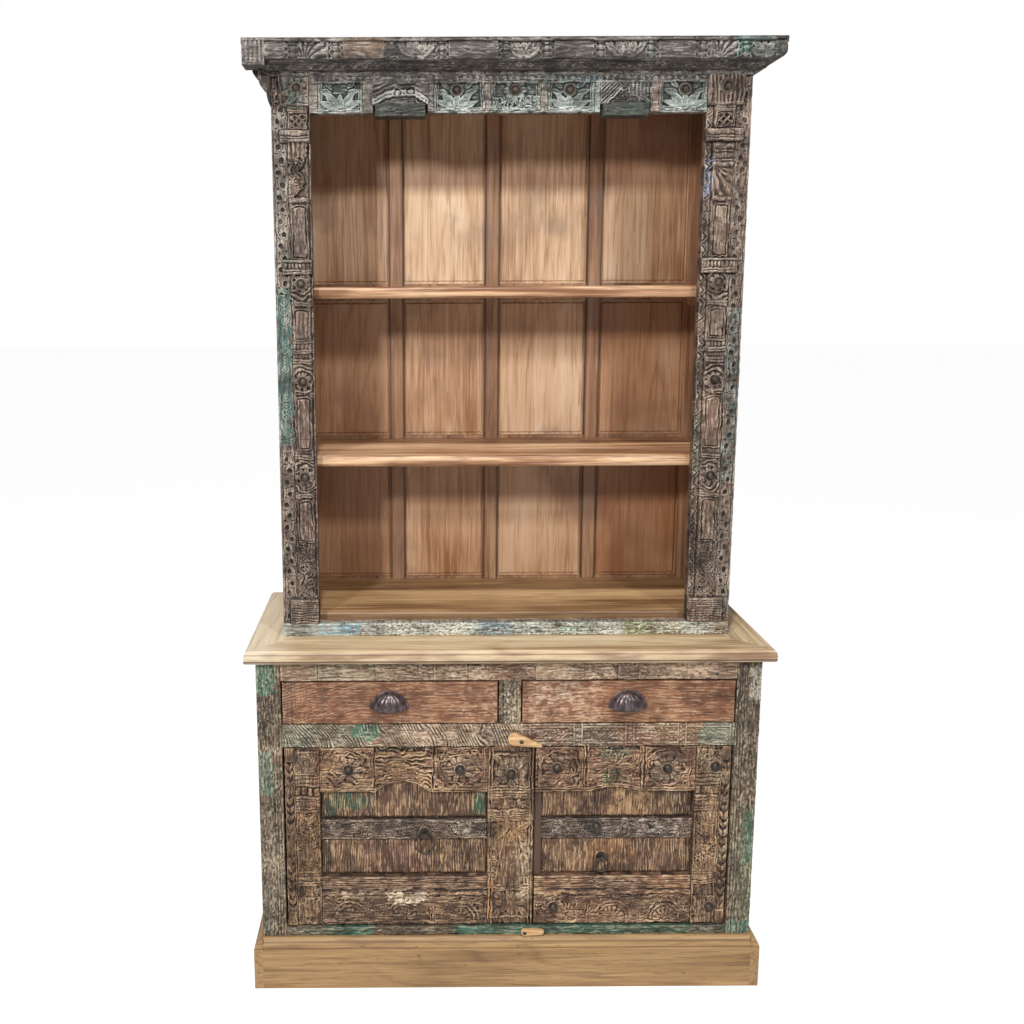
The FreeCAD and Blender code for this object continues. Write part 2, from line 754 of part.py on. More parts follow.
def make_cornice():
    """A bold moulding mitred round the front and both sides, and a carved scroll under its left end."""
    low = overall_height - cornice_height

    def section(face, outward, projection):
        points = [(face, overall_height)]
        for share in cornice_shares:
            place = []
            for out, drop in zip(share[0::2], share[1::2]):
                place.extend([face + outward * projection * out, overall_height - drop * cornice_height])
            points.append(tuple(place))
        return points

    out_x = half_upper + cornice_side_projection
    out_y = frame_front - cornice_front_projection
    run = base_top_depth / cornice_front_projection
    inner = (out_x - run * cornice_side_projection, out_y + run * cornice_front_projection)
    mitre = run_z([(out_x, out_y), inner, (out_x, inner[1])], low - 1, overall_height + 1)
    front = run_x(section(frame_front, -1, cornice_front_projection), -out_x, out_x)
    front = front.cut(mitre).cut(across(mitre))
    side = run_y(section(half_upper, 1, cornice_side_projection), out_y, back_y).common(mitre)
    save("cornice_front", front)

    foot = low - scroll_height
    edge = -half_upper
    bed = section(edge, -1, cornice_side_projection)[-cornice_bed_points:]
    tip, tip_z = bed[0]
    reach = edge - tip
    drop = tip_z - foot
    points = [(edge, foot)] + bed[::-1]
    for out, fall, end_out, end_fall in scroll_shares:
        through = (edge - out * reach, tip_z - fall * drop)
        end = (edge - end_out * reach, tip_z - end_fall * drop)
        points.append(through + end)
    scroll = run_y(points, frame_front, frame_front + scroll_width)
    save("cornice_returns", side, across(side), scroll)


def shelf(x0, x1, level, thickness, nose):
    """A plank shelf with a rounded front edge."""
    low = level - thickness
    points = [
        (back_front, low), (shelf_front + nose, low),
        (shelf_front + round_share * nose, low + round_share * nose, shelf_front, low + nose),
        (shelf_front, level - nose),
        (shelf_front + round_share * nose, level - round_share * nose, shelf_front + nose, level),
        (back_front, level),
    ]
    return run_x(points, x0, x1)


def make_shelves():
    """Two shelves on cleats and a bottom board, between the linings."""
    half = lining_inner
    save("upper_shelf", shelf(-half, half, upper_shelf_level, shelf_thickness, shelf_nose_radius))
    save("lower_shelf", shelf(-half, half, lower_shelf_level, shelf_thickness, shelf_nose_radius))
    save("bottom_board", shelf(
        -half, half, bottom_board_level, bottom_board_thickness, bottom_board_nose_radius))
    cleats = []
    for level, thickness in (
        (upper_shelf_level, shelf_thickness),
        (lower_shelf_level, shelf_thickness),
        (bottom_board_level, bottom_board_thickness),
    ):
        top = level - thickness
        foot = max(top - cleat_height, base_height)
        cleat_front = shelf_front + cleat_inset
        cleat = box(lining_inner - cleat_width, lining_inner, cleat_front, back_front, foot, top)
        cleats.extend([cleat, across(cleat)])
    save("shelf_cleats", *cleats)


def make_back():
    """A framed back: stiles, rails behind the shelves, muntins, and a raised panel in each space."""
    stile = box(lining_inner - back_stile_width, lining_inner, back_front, back_y, base_height, frame_top)
    inner = lining_inner - back_stile_width
    bands = [
        (base_height, bottom_board_level + back_bottom_rail_lip),
        (lower_shelf_level - shelf_thickness - back_rail_lip, lower_shelf_level + back_rail_lip),
        (upper_shelf_level - shelf_thickness - back_rail_lip, upper_shelf_level + back_rail_lip),
        (frame_top - back_top_rail_height, frame_top),
    ]
    rails = [box(-inner, inner, back_front, back_y, low, high) for low, high in bands]
    uprights = [across(stile), stile]
    panels = []
    muntins = [(place - muntin_width / 2, place + muntin_width / 2) for place in muntin_places]
    edges = [-inner] + [x for sides in muntins for x in sides] + [inner]
    face = back_front + panel_recess
    for (_, low), (high, _) in zip(bands[:-1], bands[1:]):
        for x0, x1 in muntins:
            uprights.append(box(x0, x1, back_front, back_y, low, high))
        for x0, x1 in zip(edges[0::2], edges[1::2]):
            panels.append(raised_panel(x0, x1, face, low, high))
    save("back_frame", *rails, *uprights)
    save("back_panels", *panels)


def raised_panel(x0, x1, face, low, high):
    """A plank panel whose middle field stands forward of its bevelled margins."""
    slab = box(x0, x1, face, face + panel_thickness, low, high)

    def rim(inset, y):
        corners = [V(x0 + inset, y, low + inset), V(x1 - inset, y, low + inset),
                   V(x1 - inset, y, high - inset), V(x0 + inset, y, high - inset)]
        return Part.makePolygon(corners + corners[:1])

    field = Part.makeLoft([rim(panel_margin, face), rim(panel_bevel, face - panel_field_rise)], True)
    return fuse([slab, field])


make_plinth()
make_carcass()
make_base_top()
make_drawer("left_drawer", -post_inner + drawer_gap, divider_left - drawer_gap)
make_drawer("right_drawer", divider_right + drawer_gap, post_inner - drawer_gap)
make_cup_pull("left_cup_pull", -cup_place)
make_cup_pull("right_cup_pull", cup_place)
make_doors()
make_buttons()
make_frame()
make_case()
make_cornice()
make_shelves()
make_back()
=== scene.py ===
import math
from functools import reduce

import bpy
import numpy as np
from mathutils import Matrix, Vector


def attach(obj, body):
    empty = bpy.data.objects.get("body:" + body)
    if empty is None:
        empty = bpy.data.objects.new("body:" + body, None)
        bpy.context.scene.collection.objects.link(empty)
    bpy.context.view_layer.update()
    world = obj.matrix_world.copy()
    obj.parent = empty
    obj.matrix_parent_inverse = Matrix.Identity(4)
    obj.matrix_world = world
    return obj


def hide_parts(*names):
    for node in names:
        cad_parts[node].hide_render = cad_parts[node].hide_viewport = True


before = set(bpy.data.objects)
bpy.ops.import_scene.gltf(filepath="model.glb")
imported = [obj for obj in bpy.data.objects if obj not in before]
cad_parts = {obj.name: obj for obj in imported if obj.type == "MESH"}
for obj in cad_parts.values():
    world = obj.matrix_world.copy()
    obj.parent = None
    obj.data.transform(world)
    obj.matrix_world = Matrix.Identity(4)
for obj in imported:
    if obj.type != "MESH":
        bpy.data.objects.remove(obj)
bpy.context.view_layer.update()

# Plinth: knotty honey-tan planks round the foot with a moulded upper edge, nailed on and waxed.
# The grain runs along each board, broken by a few knots and darker streaks.


def seen(red, green, blue):
    """A colour as the eye sees it, on a scale to 255, turned into light values."""
    c = np.array([red, green, blue]) / 255
    return tuple(np.where(c > 0.04045, ((c + 0.055) / 1.055) ** 2.4, c / 12.92)) + (1.0,)


def node_tools(tree):
    """Functions that fill in a node's inputs, add a node, mix two colours, do a sum, and stretch a range to
    another."""

    def fill(made, inputs):
        for key, value in dict(inputs).items():
            if isinstance(value, bpy.types.NodeSocket):
                tree.links.new(value, made.inputs[key])
            else:
                made.inputs[key].default_value = value

    def node(kind, inputs=(), out=0, **settings):
        made = tree.nodes.new("ShaderNode" + kind)
        for key, value in settings.items():
            setattr(made, key, value)
        fill(made, inputs)
        return made.outputs[out]

    def mix(share, first, second):
        return node("Mix", {0: share, 6: first, 7: second}, 2, data_type="RGBA")

    def calc(kind, first, second=0.0):
        return node("Math", {0: first, 1: second}, operation=kind)

    def span(value, low, high, start=0.0, end=1.0):
        return node("MapRange", {0: value, 1: low, 2: high, 3: start, 4: end})

    return fill, node, mix, calc, span


def new_finish(name):
    """An empty finish: its material, and the functions that add nodes to it and fill in its shader."""
    material = bpy.data.materials.new(name)
    material.use_nodes = True
    fill, node, mix, calc, span = node_tools(material.node_tree)

    def shader(**inputs):
        named = {key.replace("_", " "): value for key, value in inputs.items()}
        fill(material.node_tree.nodes["Principled BSDF"], named)

    return material, node, shader, mix, calc, span


def dimmer(colour, share):
    """A colour with its light values cut to a share."""
    return tuple(share * c for c in colour[:3]) + (1.0,)


def plank_finish(name, dark, middle, light, along, board=0.0, knots=0.0, gloss=0.5, across=None, place=None, lines=0.2,
        streaks=1.0, clouds=1.5, shade=None):
    """Waxed wood. Fibres, streaks and broad bands are noises drawn out along the grain, the growth lines are the
    contours of a smooth drawn-out noise, and boards of the given width differ in tone. place gives other coordinates,
    and shade darkens some places."""
    material, node, shader, mix, calc, span = new_finish(name)
    dark, middle, light = seen(*dark), seen(*middle), seen(*light)
    spot = node("TexCoord", out=3) if place is None else place(node, calc, mix)
    axis = "XYZ".index(along)

    def drawn(share, scale, detail, bend=0.0):
        stretch = [1.0, 1.0, 1.0]
        stretch[axis] = share
        return node("TexNoise", {"Vector": node("Mapping", {"Vector": spot, "Scale": stretch}), "Scale": scale,
            "Detail": detail, "Roughness": 0.6, "Distortion": bend})

    def add_up(*terms):
        total = 0.5
        for value, weight in terms:
            total = calc("ADD", total, calc("MULTIPLY", calc("SUBTRACT", value, 0.5), weight))
        return total

    side = (2, 0, 0)[axis] if across is None else across
    place_across = node("SeparateXYZ", {0: spot}, side)
    if board:
        wide = calc("DIVIDE", calc("ADD", place_across, 7.0), board)
        tone = node("TexWhiteNoise", {"W": calc("FLOOR", wide)}, noise_dimensions="1D")
        seam = calc("LESS_THAN", calc("FRACT", wide), 0.0012 / board)
        spot = node("VectorMath", {0: spot, 1: node("CombineXYZ", {0: tone, 1: tone, 2: tone})}, operation="ADD")
    else:
        tone, seam = 0.5, 0.0
    fibre = drawn(0.02, 560.0, 2.0)
    streak = drawn(0.03, 110.0, 3.0)
    broad = drawn(0.07, 19.0, 3.0, 0.2)
    cloud = drawn(0.45, 4.5, 3.0)
    pores = drawn(0.045, 150.0, 2.0, 0.4)
    gleam = drawn(0.035, 120.0, 2.0, 0.4)
    form = drawn(0.13, 5.5, 1.0, 0.25)
    rings = calc("PINGPONG", calc("ADD", calc("MULTIPLY", form, 26.0), calc("MULTIPLY", streak, 0.9)), 1.0)
    late = calc("MULTIPLY", span(rings, 0.3, 0.0), span(cloud, 0.4, 0.6, 0.25, 1.0))
    depth = add_up((fibre, 0.55), (streak, 1.1 * streaks), (broad, 1.3 * streaks), (cloud, clouds), (tone, 0.3))
    depth = calc("SUBTRACT", depth, calc("MULTIPLY", late, lines))
    colour = mix(span(depth, 0.12, 0.5), dark, middle)
    colour = mix(span(depth, 0.5, 0.88), colour, light)
    colour = mix(span(gleam, 0.56, 0.63, 0.0, 0.34), colour, light)
    colour = mix(span(pores, 0.57, 0.62, 0.0, 0.42), colour, dark)
    if knots:
        stretch = [1.0, 1.0, 1.0]
        stretch[axis] = 0.6
        cell = node("TexVoronoi", {"Vector": node("Mapping", {"Vector": spot, "Scale": stretch}), "Scale": knots})
        cell = calc("ADD", cell, calc("MULTIPLY", calc("SUBTRACT", broad, 0.5), 0.1))
        colour = mix(span(cell, 0.075, 0.03, 0.0, 0.8), colour, dark)
        colour = mix(span(cell, 0.03, 0.014), colour, dimmer(dark, 0.25))
    colour = mix(calc("MULTIPLY", seam, 0.6), colour, dimmer(dark, 0.2))
    if shade is not None:
        colour = shade(node, calc, mix, span, colour)
    rough = span(add_up((fibre, 0.6), (cloud, 0.8)), 0.3, 0.7, gloss - 0.08, gloss + 0.12)
    lift = calc("SUBTRACT", add_up((fibre, 0.8), (streak, 0.6)), calc("ADD", seam, calc("MULTIPLY", late, 0.15)))
    shader(Base_Color=colour, Roughness=rough,
        Normal=node("Bump", {"Height": lift, "Strength": 0.3, "Distance": 0.0006}))
    return material


def dress(finish, *nodes):
    """Gives solids of the frame a finish in place of their plain one."""
    for name in nodes:
        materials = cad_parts[name].data.materials
        materials.clear()
        materials.append(finish)


def moulding_shadow_and_specks(node, calc, mix, span, colour):
    """Painted shadow under the moulding's steps as two dark level lines, and dark specks at a fine noise's peaks."""
    spot = node("TexCoord", out=3)
    height = node("SeparateXYZ", {0: spot}, 2)
    # Painted shadow: two dark lines under the steps of the moulding.
    step = calc("MINIMUM", calc("ABSOLUTE", calc("SUBTRACT", height, 0.1005)),
        calc("ABSOLUTE", calc("SUBTRACT", height, 0.1135)))
    specks = node("TexNoise", {"Vector": node("Mapping", {"Vector": spot, "Scale": (0.35, 1.0, 1.0)}), "Scale": 120.0,
        "Detail": 3.0})
    colour = mix(span(specks, 0.66, 0.74, 0.0, 0.6), colour, seen(92, 64, 38))
    return mix(span(step, 0.0022, 0.0008, 0.0, 0.6), colour, seen(84, 58, 36))


def turned_where(test):
    """Coordinates for a finish: those of the object, with X and Y changed over where a test of them holds, so that the
    grain runs along each board."""

    def place(node, calc, mix):
        spot = node("TexCoord", out=3)
        split = node("SeparateXYZ", {0: spot}).node.outputs
        turned = node("CombineXYZ", {0: split[1], 1: calc("ADD", split[0], 2.0), 2: split[2]})
        return mix(test(calc, split), spot, turned)

    return place


def on_plinth_side(calc, at):
    """Whether X lies past the inner faces of the plinth's side boards."""
    return calc("GREATER_THAN", calc("ABSOLUTE", at[0]), 0.567)


plinth_tones = (100, 72, 42), (154, 120, 78), (182, 148, 102)
plinth_look = dict(knots=9.0, gloss=0.52, streaks=0.6, clouds=0.7, shade=moulding_shadow_and_specks)
dress(plank_finish("plinth_wood", *plinth_tones, "X", **plinth_look), "plinth_front")
dress(plank_finish("plinth_side_wood", *plinth_tones, "X", place=turned_where(on_plinth_side), **plinth_look),
    "plinth_returns")

# Carcass of the base: rear posts, framed sides with sunk panels, planked back, floor and runners.
# Plain waxed honey-brown planks, upright in the sides and the back, and running front to back in the floor.

upright_plank = plank_finish(
    "upright_plank", (96, 64, 38), (142, 102, 64), (170, 130, 88), "Z", board=0.086, knots=3.0, across=1)
back_plank = plank_finish("back_plank", (88, 60, 38), (130, 94, 60), (160, 122, 82), "Z", knots=2.6)
level_plank = plank_finish("level_plank", (92, 62, 38), (138, 100, 62), (168, 128, 86), "Y", knots=2.2)
dress(upright_plank, "base_side_panels", "rear_posts")
dress(level_plank, "base_side_rails", "base_floor", "drawer_runners")
dress(back_plank, "base_back_boards")

# Front posts and rails of the base: old boards with worn whitewash and blue-green paint, patched together.
# Their faces are chiselled and flaked, so the bare wood shows through in flecks and along the edges.


def ease(low, high, value):
    """0 below low, 1 above high, and a smooth S between them."""
    t = np.clip((value - low) / (high - low), 0, 1)
    return t * t * (3 - 2 * t)


def band(value, low, high, soft=1.5):
    """1 between low and high, falling to 0 over the soft width outside."""
    return ease(low - soft, low, value) * (1 - ease(high, high + soft, value))


def swell(value, middle, width):
    """A smooth swelling: 1 at the middle, falling away as a bell curve of that width."""
    return np.exp(-((value - middle) / width) ** 2)


def half_round(value, middle, half):
    """A half round: 1 at the middle, falling as a circle does to 0 at half its width from there."""
    return np.sqrt(np.clip(1 - ((value - middle) / half) ** 2, 0, 1))


def highest(*fields):
    """The highest of several fields at each point."""
    return reduce(np.maximum, fields)


def rim_gap(x, z):
    """How far each point of a grid lies from the nearest edge of the grid."""
    return np.minimum(np.minimum(x - x[:, :1], x[:, -1:] - x), np.minimum(z - z[:1], z[-1:] - z))


def weather(x, z, size, seed):
    """A smooth random field from 0 to 1: random values on a square lattice of that size, eased between its points."""
    cells = 97
    table = np.random.RandomState(seed).rand(cells, cells)
    u, v = x / size, z / size
    i, j = np.floor(u).astype(int), np.floor(v).astype(int)
    f, g = u - i, v - j
    f, g = f * f * (3 - 2 * f), g * g * (3 - 2 * g)
    low = table[i % cells, j % cells] * (1 - f) + table[(i + 1) % cells, j % cells] * f
    high = table[i % cells, (j + 1) % cells] * (1 - f) + table[(i + 1) % cells, (j + 1) % cells] * f
    return low * (1 - g) + high * g


def grid(x0, x1, z0, z1, step):
    """Columns across a board and rows up it, about a step apart, as two arrays of places in millimetres."""
    columns = np.linspace(x0, x1, max(3, round((x1 - x0) / step) + 1))
    rows = np.linspace(z0, z1, max(3, round((z1 - z0) / step) + 1))
    return np.meshgrid(columns, rows)


def brush(paint, share, colour, cover):
    """Lays a colour and its cover over the paint, by the share of each point that the brush reaches."""
    paint += share[..., None] * (np.array(seen(*colour)[:3] + (cover,)) - paint)


def coat(x, z, ground, patches, seed):
    """Colour and cover of the paint: a ground coat, then patches (x0, x1, z0, z1, colour, cover) with ragged edges."""
    paint = np.empty(x.shape + (4,))
    paint[:] = seen(*ground[0])[:3] + (ground[1],)
    ragged = 16 * (weather(x, z, 13, seed) - 0.5) + 7 * (weather(x, z, 4.5, seed + 1) - 0.5)
    for x0, x1, z0, z1, colour, cover in patches:
        brush(paint, band(x + ragged, x0, x1, 5) * band(z + ragged, z0, z1, 5), colour, cover)
    return paint


def blurred(field, reach):
    """The mean over a square of the given reach, from sums along each way."""
    for axis in (0, 1):
        pad = [(reach + 1, reach) if a == axis else (0, 0) for a in (0, 1)]
        sums = np.cumsum(np.pad(field, pad, mode="edge"), axis)
        n = field.shape[axis]
        field = ((np.take(sums, np.arange(2 * reach + 1, 2 * reach + 1 + n), axis) - np.take(sums, np.arange(n), axis))
            / (2 * reach + 1))
    return field


def carve_marks(level, depth, sunk):
    """What the finish needs to know of a carved face: hollows and ridges, where its level differs from the mean round
    about, and its depth."""
    hollow = np.clip((level - blurred(level, 4)) / sunk, 0, 1)
    ridge = np.clip((blurred(level, 2) - level) / 0.75, 0, 1)
    return np.stack([hollow, ridge, np.clip(depth / 6, 0, 1), np.ones_like(level)], -1).reshape(-1, 4)


def put_in(name, points, faces, body, finish, smooth, carve=None, paint=None):
    """Puts points in millimetres and their faces into a new piece that rides on a body."""
    mesh = bpy.data.meshes.new(name)
    mesh.from_pydata((points * 0.001).tolist(), [], faces)
    mesh.polygons.foreach_set("use_smooth", smooth)
    for label, values in (("carve", carve), ("paint", paint)):
        if values is not None:
            mesh.attributes.new(label, "FLOAT_COLOR", "POINT").data.foreach_set("color",
                values.astype(np.float32).ravel())
    mesh.materials.append(finish)
    piece = bpy.data.objects.new(name, mesh)
    bpy.context.scene.collection.objects.link(piece)
    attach(piece, body)
    return piece


def carved_board(name, nodes, body, finish, x, z, face, depth, back, paint, arris=1.6):
    """A board with a carved front: the points (x, face + depth, z) of a grid, walls from its rim straight back, and a
    flat back. A rim of the given width is worn round."""
    rows, columns = x.shape
    worn = arris * (0.55 + 0.9 * weather(x, z, 9, 77))
    depth = depth + worn * (1 - np.sqrt(1 - (1 - np.clip(rim_gap(x, z) / worn, 0, 1)) ** 2))
    y = np.broadcast_to(face, x.shape) + depth
    front = np.stack([x, y, z], -1).reshape(-1, 3)
    index = np.arange(rows * columns).reshape(rows, columns)
    loop = np.concatenate([index[0], index[1:, -1], index[-1, -2::-1], index[-2:0:-1, 0]])
    behind = front[loop] * (1, 0, 1) + (0, back, 0)
    last = rows * columns + np.arange(len(loop))
    quads = np.stack([index[:-1, :-1], index[:-1, 1:], index[1:, 1:], index[1:, :-1]], -1).reshape(-1, 4)
    walls = np.stack([loop, last, np.roll(last, -1), np.roll(loop, -1)], -1)
    faces = quads.tolist() + walls.tolist() + [last[::-1].tolist()]
    smooth = np.zeros(len(faces), bool)
    smooth[:len(quads)] = True
    carve = carve_marks(y, depth, 2.2)
    paint = paint.reshape(-1, 4)
    carve = np.concatenate([carve, carve[loop] * (0.3, 0, 1, 1)])
    paint = np.concatenate([paint, paint[loop] * (1, 1, 1, 0.6)])
    piece = put_in(name, np.concatenate([front, behind]), faces, body, finish, smooth, carve, paint)
    if nodes:
        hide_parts(*nodes)
    return piece


def old_finish(name, dark, middle, light, worn, along, flake=170.0, dust=0.7, scratch=0.5, dirt=0.75, grime=0.5):
    """Old painted or carved wood. Brown wood with drawn-out grain, paint from the piece's own attribute broken up by a
    flaking noise, pale scratches and flecks and dark pits along the grain, dirt in the hollows, and bare pale wood in
    patches along the ridges."""
    material, node, shader, mix, calc, span = new_finish(name)
    dark, middle, light, worn = seen(*dark), seen(*middle), seen(*light), seen(*worn)
    spot = node("TexCoord", out=3)
    axis = "XYZ".index(along)

    def drawn(share, scale, detail, rough=0.62, push=0.0):
        stretch = [1.0, 1.0, 1.0]
        stretch[axis] = share
        moved = node("Mapping", {"Vector": spot, "Scale": stretch, "Location": (push, push, push)})
        return node("TexNoise", {"Vector": moved, "Scale": scale, "Detail": detail, "Roughness": rough})

    fibre = drawn(0.05, 430.0, 3.0)
    streak = drawn(0.09, 75.0, 3.0)
    cloud = drawn(1.0, 15.0, 4.0)
    flakes = drawn(0.5, flake, 5.0, 0.68, 1.3)
    chips = drawn(0.7, flake * 0.42, 5.0, 0.7, 3.1)
    hair = drawn(0.07, 300.0, 2.0, 0.6, 5.7)
    wear = drawn(0.8, 22.0, 3.0, 0.6, 7.9)
    flecks = drawn(0.13, 260.0, 2.0, 0.5, 9.3)
    pits = drawn(0.12, 230.0, 2.0, 0.5, 11.1)
    carve = node("SeparateColor", {0: node("Attribute", attribute_name="carve")})
    hollow, ridge = carve.node.outputs[0], carve.node.outputs[1]
    paint = node("Attribute", attribute_name="paint")
    cover = paint.node.outputs["Alpha"]
    tone = calc("ADD", calc("MULTIPLY", cloud, 0.4),
        calc("ADD", calc("MULTIPLY", streak, 0.3), calc("MULTIPLY", fibre, 0.3)))
    wood = mix(span(tone, 0.38, 0.5), dark, middle)
    wood = mix(span(tone, 0.5, 0.62), wood, light)
    broken = calc("ADD", calc("MULTIPLY", flakes, 0.6), calc("MULTIPLY", chips, 0.4))
    painted = span(calc("ADD", broken, cover), 0.94, 1.05)
    shade = mix(span(tone, 0.4, 0.52), mix(0.5, paint, dark), paint)
    colour = mix(calc("MULTIPLY", painted, 0.9), wood, shade)
    scrape = calc("MULTIPLY", span(hair, 0.56, 0.66), span(chips, 0.42, 0.6))
    colour = mix(calc("MULTIPLY", scrape, scratch), colour, worn)
    colour = mix(span(flecks, 0.57, 0.62, 0.0, 0.9 * scratch), colour, worn)
    colour = mix(span(pits, 0.57, 0.62, 0.0, 0.5), colour, dimmer(dark, 0.45))
    colour = mix(span(wear, 0.52, 0.36, 0.0, grime), colour, dark)
    bare = calc("MULTIPLY", ridge, span(calc("ADD", chips, calc("MULTIPLY", cloud, 0.6)), 0.68, 0.98))
    bare = calc("MULTIPLY", bare, span(wear, 0.4, 0.56, 0.3, 1.0))
    colour = mix(calc("MULTIPLY", bare, dust), colour, worn)
    colour = mix(span(calc("ADD", hollow, calc("MULTIPLY", calc("SUBTRACT", flakes, 0.5), 0.35)), 0.08, 0.9, 0.0,
        dirt), colour, dimmer(dark, 0.3))
    rough = span(calc("ADD", fibre, flakes), 0.75, 1.25, 0.6, 0.88)
    lift = calc("ADD", calc("MULTIPLY", fibre, 0.8),
        calc("ADD", calc("MULTIPLY", painted, 0.3), calc("MULTIPLY", flakes, 0.7)))
    shader(Base_Color=colour, Roughness=rough,
        Normal=node("Bump", {"Height": lift, "Strength": 0.55, "Distance": 0.0012}))
    return material


bone = (214, 203, 180)
post_wood = old_finish("post_wood", (40, 28, 20), (84, 60, 44), (112, 84, 63), (192, 180, 152), "Z", flake=330.0,
    dust=0.8, grime=0.28)
rail_wood = old_finish("rail_wood", (62, 45, 34), (124, 92, 68), (160, 126, 97), (220, 202, 176), "X", flake=300.0,
    dust=1.0, grime=0.3)
base_face, post_back, rail_back = -210, -160, -170
rail_end, post_outer, base_under_top = 513, 568, 794
board_step, carving_step = 1.7, 1.3


def chiselled(x, z, run, seed):
    """Depth of an old board's face: broad dents, short gouges drawn out along the grain, and a few deep cracks."""
    a, b = (x / 5, z) if run == "X" else (x, z / 5)
    gouge = weather(a, b, 3.2, seed)
    crack = weather(a / 3, b, 5.5, seed + 2)
    return 1.2 * weather(x, z, 42, seed + 1) + 1.6 * ease(0.55, 0.8, gouge) + 2.6 * swell(crack, 0.5, 0.022)


post_patches = {
    "left": [
        (-570, -512, 240, 640, (104, 98, 78), 0.46), (-570, -512, 640, 720, (60, 48, 38), 0.5),
        (-570, -528, 715, 800, (50, 104, 86), 0.64), (-568, -536, 470, 580, (88, 116, 100), 0.55),
        (-560, -520, 200, 380, (168, 164, 144), 0.46), (-570, -540, 90, 190, (120, 128, 112), 0.5),
        (-570, -512, -5, 90, (86, 66, 50), 0.45)],
    "right": [
        (512, 570, 500, 700, (66, 52, 42), 0.5), (512, 536, 560, 800, (58, 46, 38), 0.55),
        (544, 570, 700, 775, (200, 198, 180), 0.52), (512, 532, 420, 560, (126, 118, 98), 0.48),
        (536, 570, 120, 440, (90, 98, 74), 0.55), (512, 534, 200, 420, (84, 84, 66), 0.48),
        (550, 570, 300, 420, (66, 112, 92), 0.56), (512, 570, 96, 150, (52, 112, 96), 0.66)],
}
for hand, side in (("left", -1), ("right", 1)):
    x, z = grid(*sorted((side * rail_end, side * post_outer)), 0, base_under_top, board_step)
    inner = side * x - rail_end
    grooves = sum(2.6 * swell(inner, at, 1.1) for at in (6.0, 12.5, 19.0))
    grooves = grooves * (0.4 + 0.8 * weather(x, z, 60, 5)) * band(z, 150, 700, 60)
    flecks = 1.5 * ease(0.42, 0.66, weather(x, z / 2.6, 2.5, 31 + side))
    depth = 0.6 * chiselled(x, z, "Z", 11 + side) + flecks + grooves
    paint = coat(x, z, ((142, 134, 114), 0.4), post_patches[hand], 3 + side)
    carved_board(hand + "_post", [hand + "_front_post"], "cabinet", post_wood, x, z, base_face,
        depth, post_back, paint)

# The top rail is a run of short old offcuts, some flecked and some bare, butted end to end.
x, z = grid(-rail_end, rail_end, 745, base_under_top, board_step)
cuts = np.array([-513, -430, -300, -170, -92, -45, 60, 170, 245, 290, 400, 470, 513.0])
which = np.searchsorted(cuts, x) - 1
joint = np.min(np.abs(x[..., None] - cuts[1:-1]), -1)
lively = np.array([0.3, 0.5, 0.8, 0.3, 1.0, 1.0, 0.4, 1.0, 0.6, 1.0, 0.7, 0.4])[np.clip(which, 0, 11)]
depth = chiselled(x, z, "X", 23) * (0.3 + 0.7 * lively) + 2.2 * swell(joint, 0, 0.8) + 0.8 * (which % 2)
depth = depth + lively * 1.5 * ease(0.5, 0.7, weather(x / 2.2, z + 0.25 * x, 3.0, 24))
paint = coat(x, z, (bone, 0.42), [
    (-513, -430, 740, 800, (126, 98, 78), 0.5), (-430, -300, 740, 800, (134, 140, 116), 0.48),
    (-300, -240, 740, 800, (150, 146, 122), 0.46), (-235, -172, 740, 800, (104, 78, 62), 0.55),
    (-170, -50, 740, 800, (206, 188, 164), 0.44), (-45, 60, 740, 800, (118, 76, 56), 0.5),
    (62, 240, 740, 800, (210, 180, 150), 0.5), (245, 290, 740, 800, (92, 66, 52), 0.5),
    (292, 468, 740, 800, (208, 176, 148), 0.5), (470, 513, 740, 800, (104, 76, 60), 0.45)], 25)
carved_board("top_rail_boards", ["top_rail"], "cabinet", rail_wood, x, z, base_face, depth, rail_back,
    paint)

# The mid rail: a slant-hatched whitewashed length on the left, and brown carved offcuts on the right.
x, z = grid(-rail_end, rail_end, 587, 641, 1.5)
lean = x + 0.55 * z + 24 * weather(x, z, 34, 33)
hatch = ease(0.2, 0.8, 0.5 + 0.5 * np.sin(lean * 0.82)) * ease(0.2, 0.6, weather(x + 0.5 * z, z / 2, 10, 34))
left_part = 1 - ease(22, 34, x)
nearer = np.abs(((x - 40) % 118) - 59)
frames = highest(swell(nearer, 50, 1.6), swell(np.abs(z - 614), 19, 1.5)) * (nearer < 52)
leafy = np.abs(np.sin(x * 0.33 + 2 * np.sin(z * 0.21))) * np.abs(np.sin(z * 0.3 + 1.6 * np.sin(x * 0.12)))
depth = (left_part * 4.4 * (1 - hatch)
    + (1 - left_part) * (3.2 * (1 - highest(frames, 0.75 * leafy * weather(x, z, 22, 35)))))
depth = depth * (1 - 0.8 * np.exp(-((x - 29) ** 2 + (z - 604) ** 2) / 900)) + 0.5 * chiselled(x, z, "X", 36)
paint = coat(x, z, (bone, 0.42), [
    (-513, -330, 580, 645, (100, 112, 92), 0.52), (-505, -440, 586, 645, (128, 150, 130), 0.52),
    (-350, -296, 606, 650, (58, 118, 94), 0.6), (-280, 10, 580, 645, (202, 184, 160), 0.46),
    (30, 140, 580, 645, (90, 50, 34), 0.64), (140, 250, 580, 645, (72, 54, 38), 0.64),
    (250, 330, 580, 645, (100, 58, 38), 0.64), (330, 440, 580, 645, (116, 84, 56), 0.58),
    (440, 513, 580, 645, (98, 114, 96), 0.56)], 37)
carved_board("mid_rail_boards", ["mid_rail"], "cabinet", rail_wood, x, z, base_face, depth, rail_back,
    paint)

